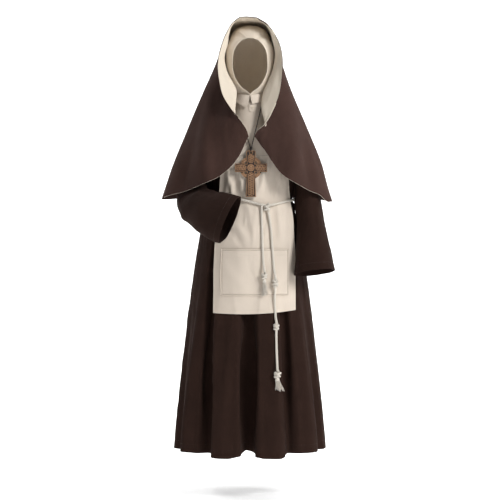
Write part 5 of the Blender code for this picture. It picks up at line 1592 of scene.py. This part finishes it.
# Neck cord
thread_z = cz + CORD_HOLE_UP + CORD_HOLE_RADIUS - CORD_RADIUS - 3 * GAP
hole_x, hole_z = cx, cz + CORD_HOLE_UP
behind = cross_back + CORD_RADIUS + 3 * GAP
ahead = cross_front - CORD_RADIUS - 4 * GAP
cord_route = [
    (hole_x, 0.5 * (cross_front + cross_back), thread_z),
    (hole_x, cross_front, thread_z - 0.0005),
    (hole_x, ahead, thread_z + 0.0040),
    (hole_x + 0.001, ahead, hole_z + 0.0130),
    (0.012, ahead + 0.0020, -0.120), (0.024, -0.1290, -0.070), (0.037, -0.1150, -0.015),
    (0.053, -0.0860, 0.032), (0.0745, -0.0440, 0.060), (0.0752, 0.0000, 0.067), (0.0540, 0.0545, 0.070),
    (0.000, 0.0750, 0.070), (-0.0540, 0.0545, 0.070), (-0.0752, 0.0000, 0.067), (-0.0740, -0.0440, 0.060),
    (-0.065, -0.0840, 0.014), (-0.050, -0.1050, -0.024), (-0.031, -0.1170, -0.064),
    (-0.010, behind - 0.0010, -0.110),
    (hole_x - 0.001, behind, hole_z + 0.0130),
    (hole_x, behind, thread_z + 0.0040),
    (hole_x, cross_back, thread_z - 0.0005),
    (hole_x, 0.5 * (cross_front + cross_back), thread_z),
]
loop_route = evenly(cord_route, 0.0010)[:-1]
add_piece("neck_cord_yarn", laid_rope(loop_route, CORD_RADIUS, 0.0075, sides=6, closed=True), CORD_YARN,
          ["neck_cord"])

# The two strands are tied together just above the cross
knot_centre = np.array((hole_x + 0.0002, 0.5 * (ahead + behind) - 0.001, hole_z + 0.0165))
add_piece("neck_cord_knot", laid_rope(evenly(coil(knot_centre, 0.0060, 0.0085, 0.0062, 2.2, 0.5, CORD_RADIUS), 0.0007),
                                      CORD_RADIUS, 0.0075, sides=6), CORD_YARN)

# Sheets: cut sizes in metres, measured on the shells
SHEETS = []


def state_sheet(grid, closed=False):
    """Measure a cloth's area and the size of the rectangle that it is cut from; the results are not kept."""
    wide = np.concatenate((grid, grid[:, :1]), axis=1) if closed else grid
    a, b, c, d = wide[:-1, :-1], wide[1:, :-1], wide[1:, 1:], wide[:-1, 1:]
    area = 0.5 * np.linalg.norm(np.cross(c - a, d - b), axis=2).sum()
    width = run_lengths(wide, 1)[:, -1].max()
    length = run_lengths(wide, 0)[-1].max()
    width, length = round(float(width), 3), round(float(length), 3)
    area = min(float(area), 0.999 * width * length)


state_sheet(tunic_front)
state_sheet(tunic_back)
state_sheet(sleeves["left"][0], closed=True)
state_sheet(sleeves["right"][0], closed=True)
state_sheet(yoke)
state_sheet(placket)
state_sheet(apron)
state_sheet(pocket)
state_sheet(collar)
state_sheet(coif)
state_sheet(veil)
state_sheet(lining)

# Floor, backdrop and light
profile = [(-4.0, -1.41), (2.2, -1.41)]
for step in range(1, 13):
    turn = math.pi / 2 * step / 12
    profile.append((2.2 + 1.2 * math.sin(turn), -1.41 + 1.2 * (1 - math.cos(turn))))
profile.append((3.4, 4.5))
points = [(x, y, z) for y, z in profile for x in (-6, 6)]
faces = [(2 * i, 2 * i + 1, 2 * i + 3, 2 * i + 2) for i in range(len(profile) - 1)]
mesh = bpy.data.meshes.new("studio_floor")
mesh.from_pydata(points, [], faces)
mesh.shade_smooth()
studio = bpy.data.objects.new("studio_floor", mesh)
bpy.context.collection.objects.link(studio)
n = Nodes("studio_paper")
n.shader.inputs["Base Color"].default_value = (0.90, 0.90, 0.90, 1)
n.shader.inputs["Roughness"].default_value = 0.95
n.shader.inputs["Specular IOR Level"].default_value = 0.0
n.shader.inputs["Emission Color"].default_value = (1, 1, 1, 1)
n.shader.inputs["Emission Strength"].default_value = 0.38
mesh.materials.append(n.material)

world = bpy.data.worlds.new("studio")
world.use_nodes = True
world.node_tree.nodes["Background"].inputs["Color"].default_value = (1, 1, 1, 1)
world.node_tree.nodes["Background"].inputs["Strength"].default_value = 0.20
bpy.context.scene.world = world


def area_light(name, place, target, size, power):
    data = bpy.data.lights.new(name, "AREA")
    data.shape = "DISK"
    data.size = size
    data.energy = power
    lamp = bpy.data.objects.new(name, data)
    lamp.location = place
    lamp.rotation_euler = (Vector(target) - Vector(place)).to_track_quat("-Z", "Y").to_euler()
    bpy.context.collection.objects.link(lamp)


area_light("key", (2.9, -2.7, 1.8), (0, 0, -0.2), 1.7, 162)
area_light("fill", (-3.0, -3.0, 0.6), (0, 0, -0.4), 2.2, 5)
area_light("top", (0.0, 0.6, 2.6), (0, 0, 0), 2.0, 14)
area_light("backdrop_left", (-2.8, 1.4, 1.6), (-0.5, 3.4, 0.0), 2.0, 110)
area_light("backdrop_right", (2.8, 1.4, 1.6), (0.5, 3.4, 0.0), 2.0, 110)
scene = bpy.context.scene
scene.view_settings.view_transform = "Standard"
scene.view_settings.look = "None"
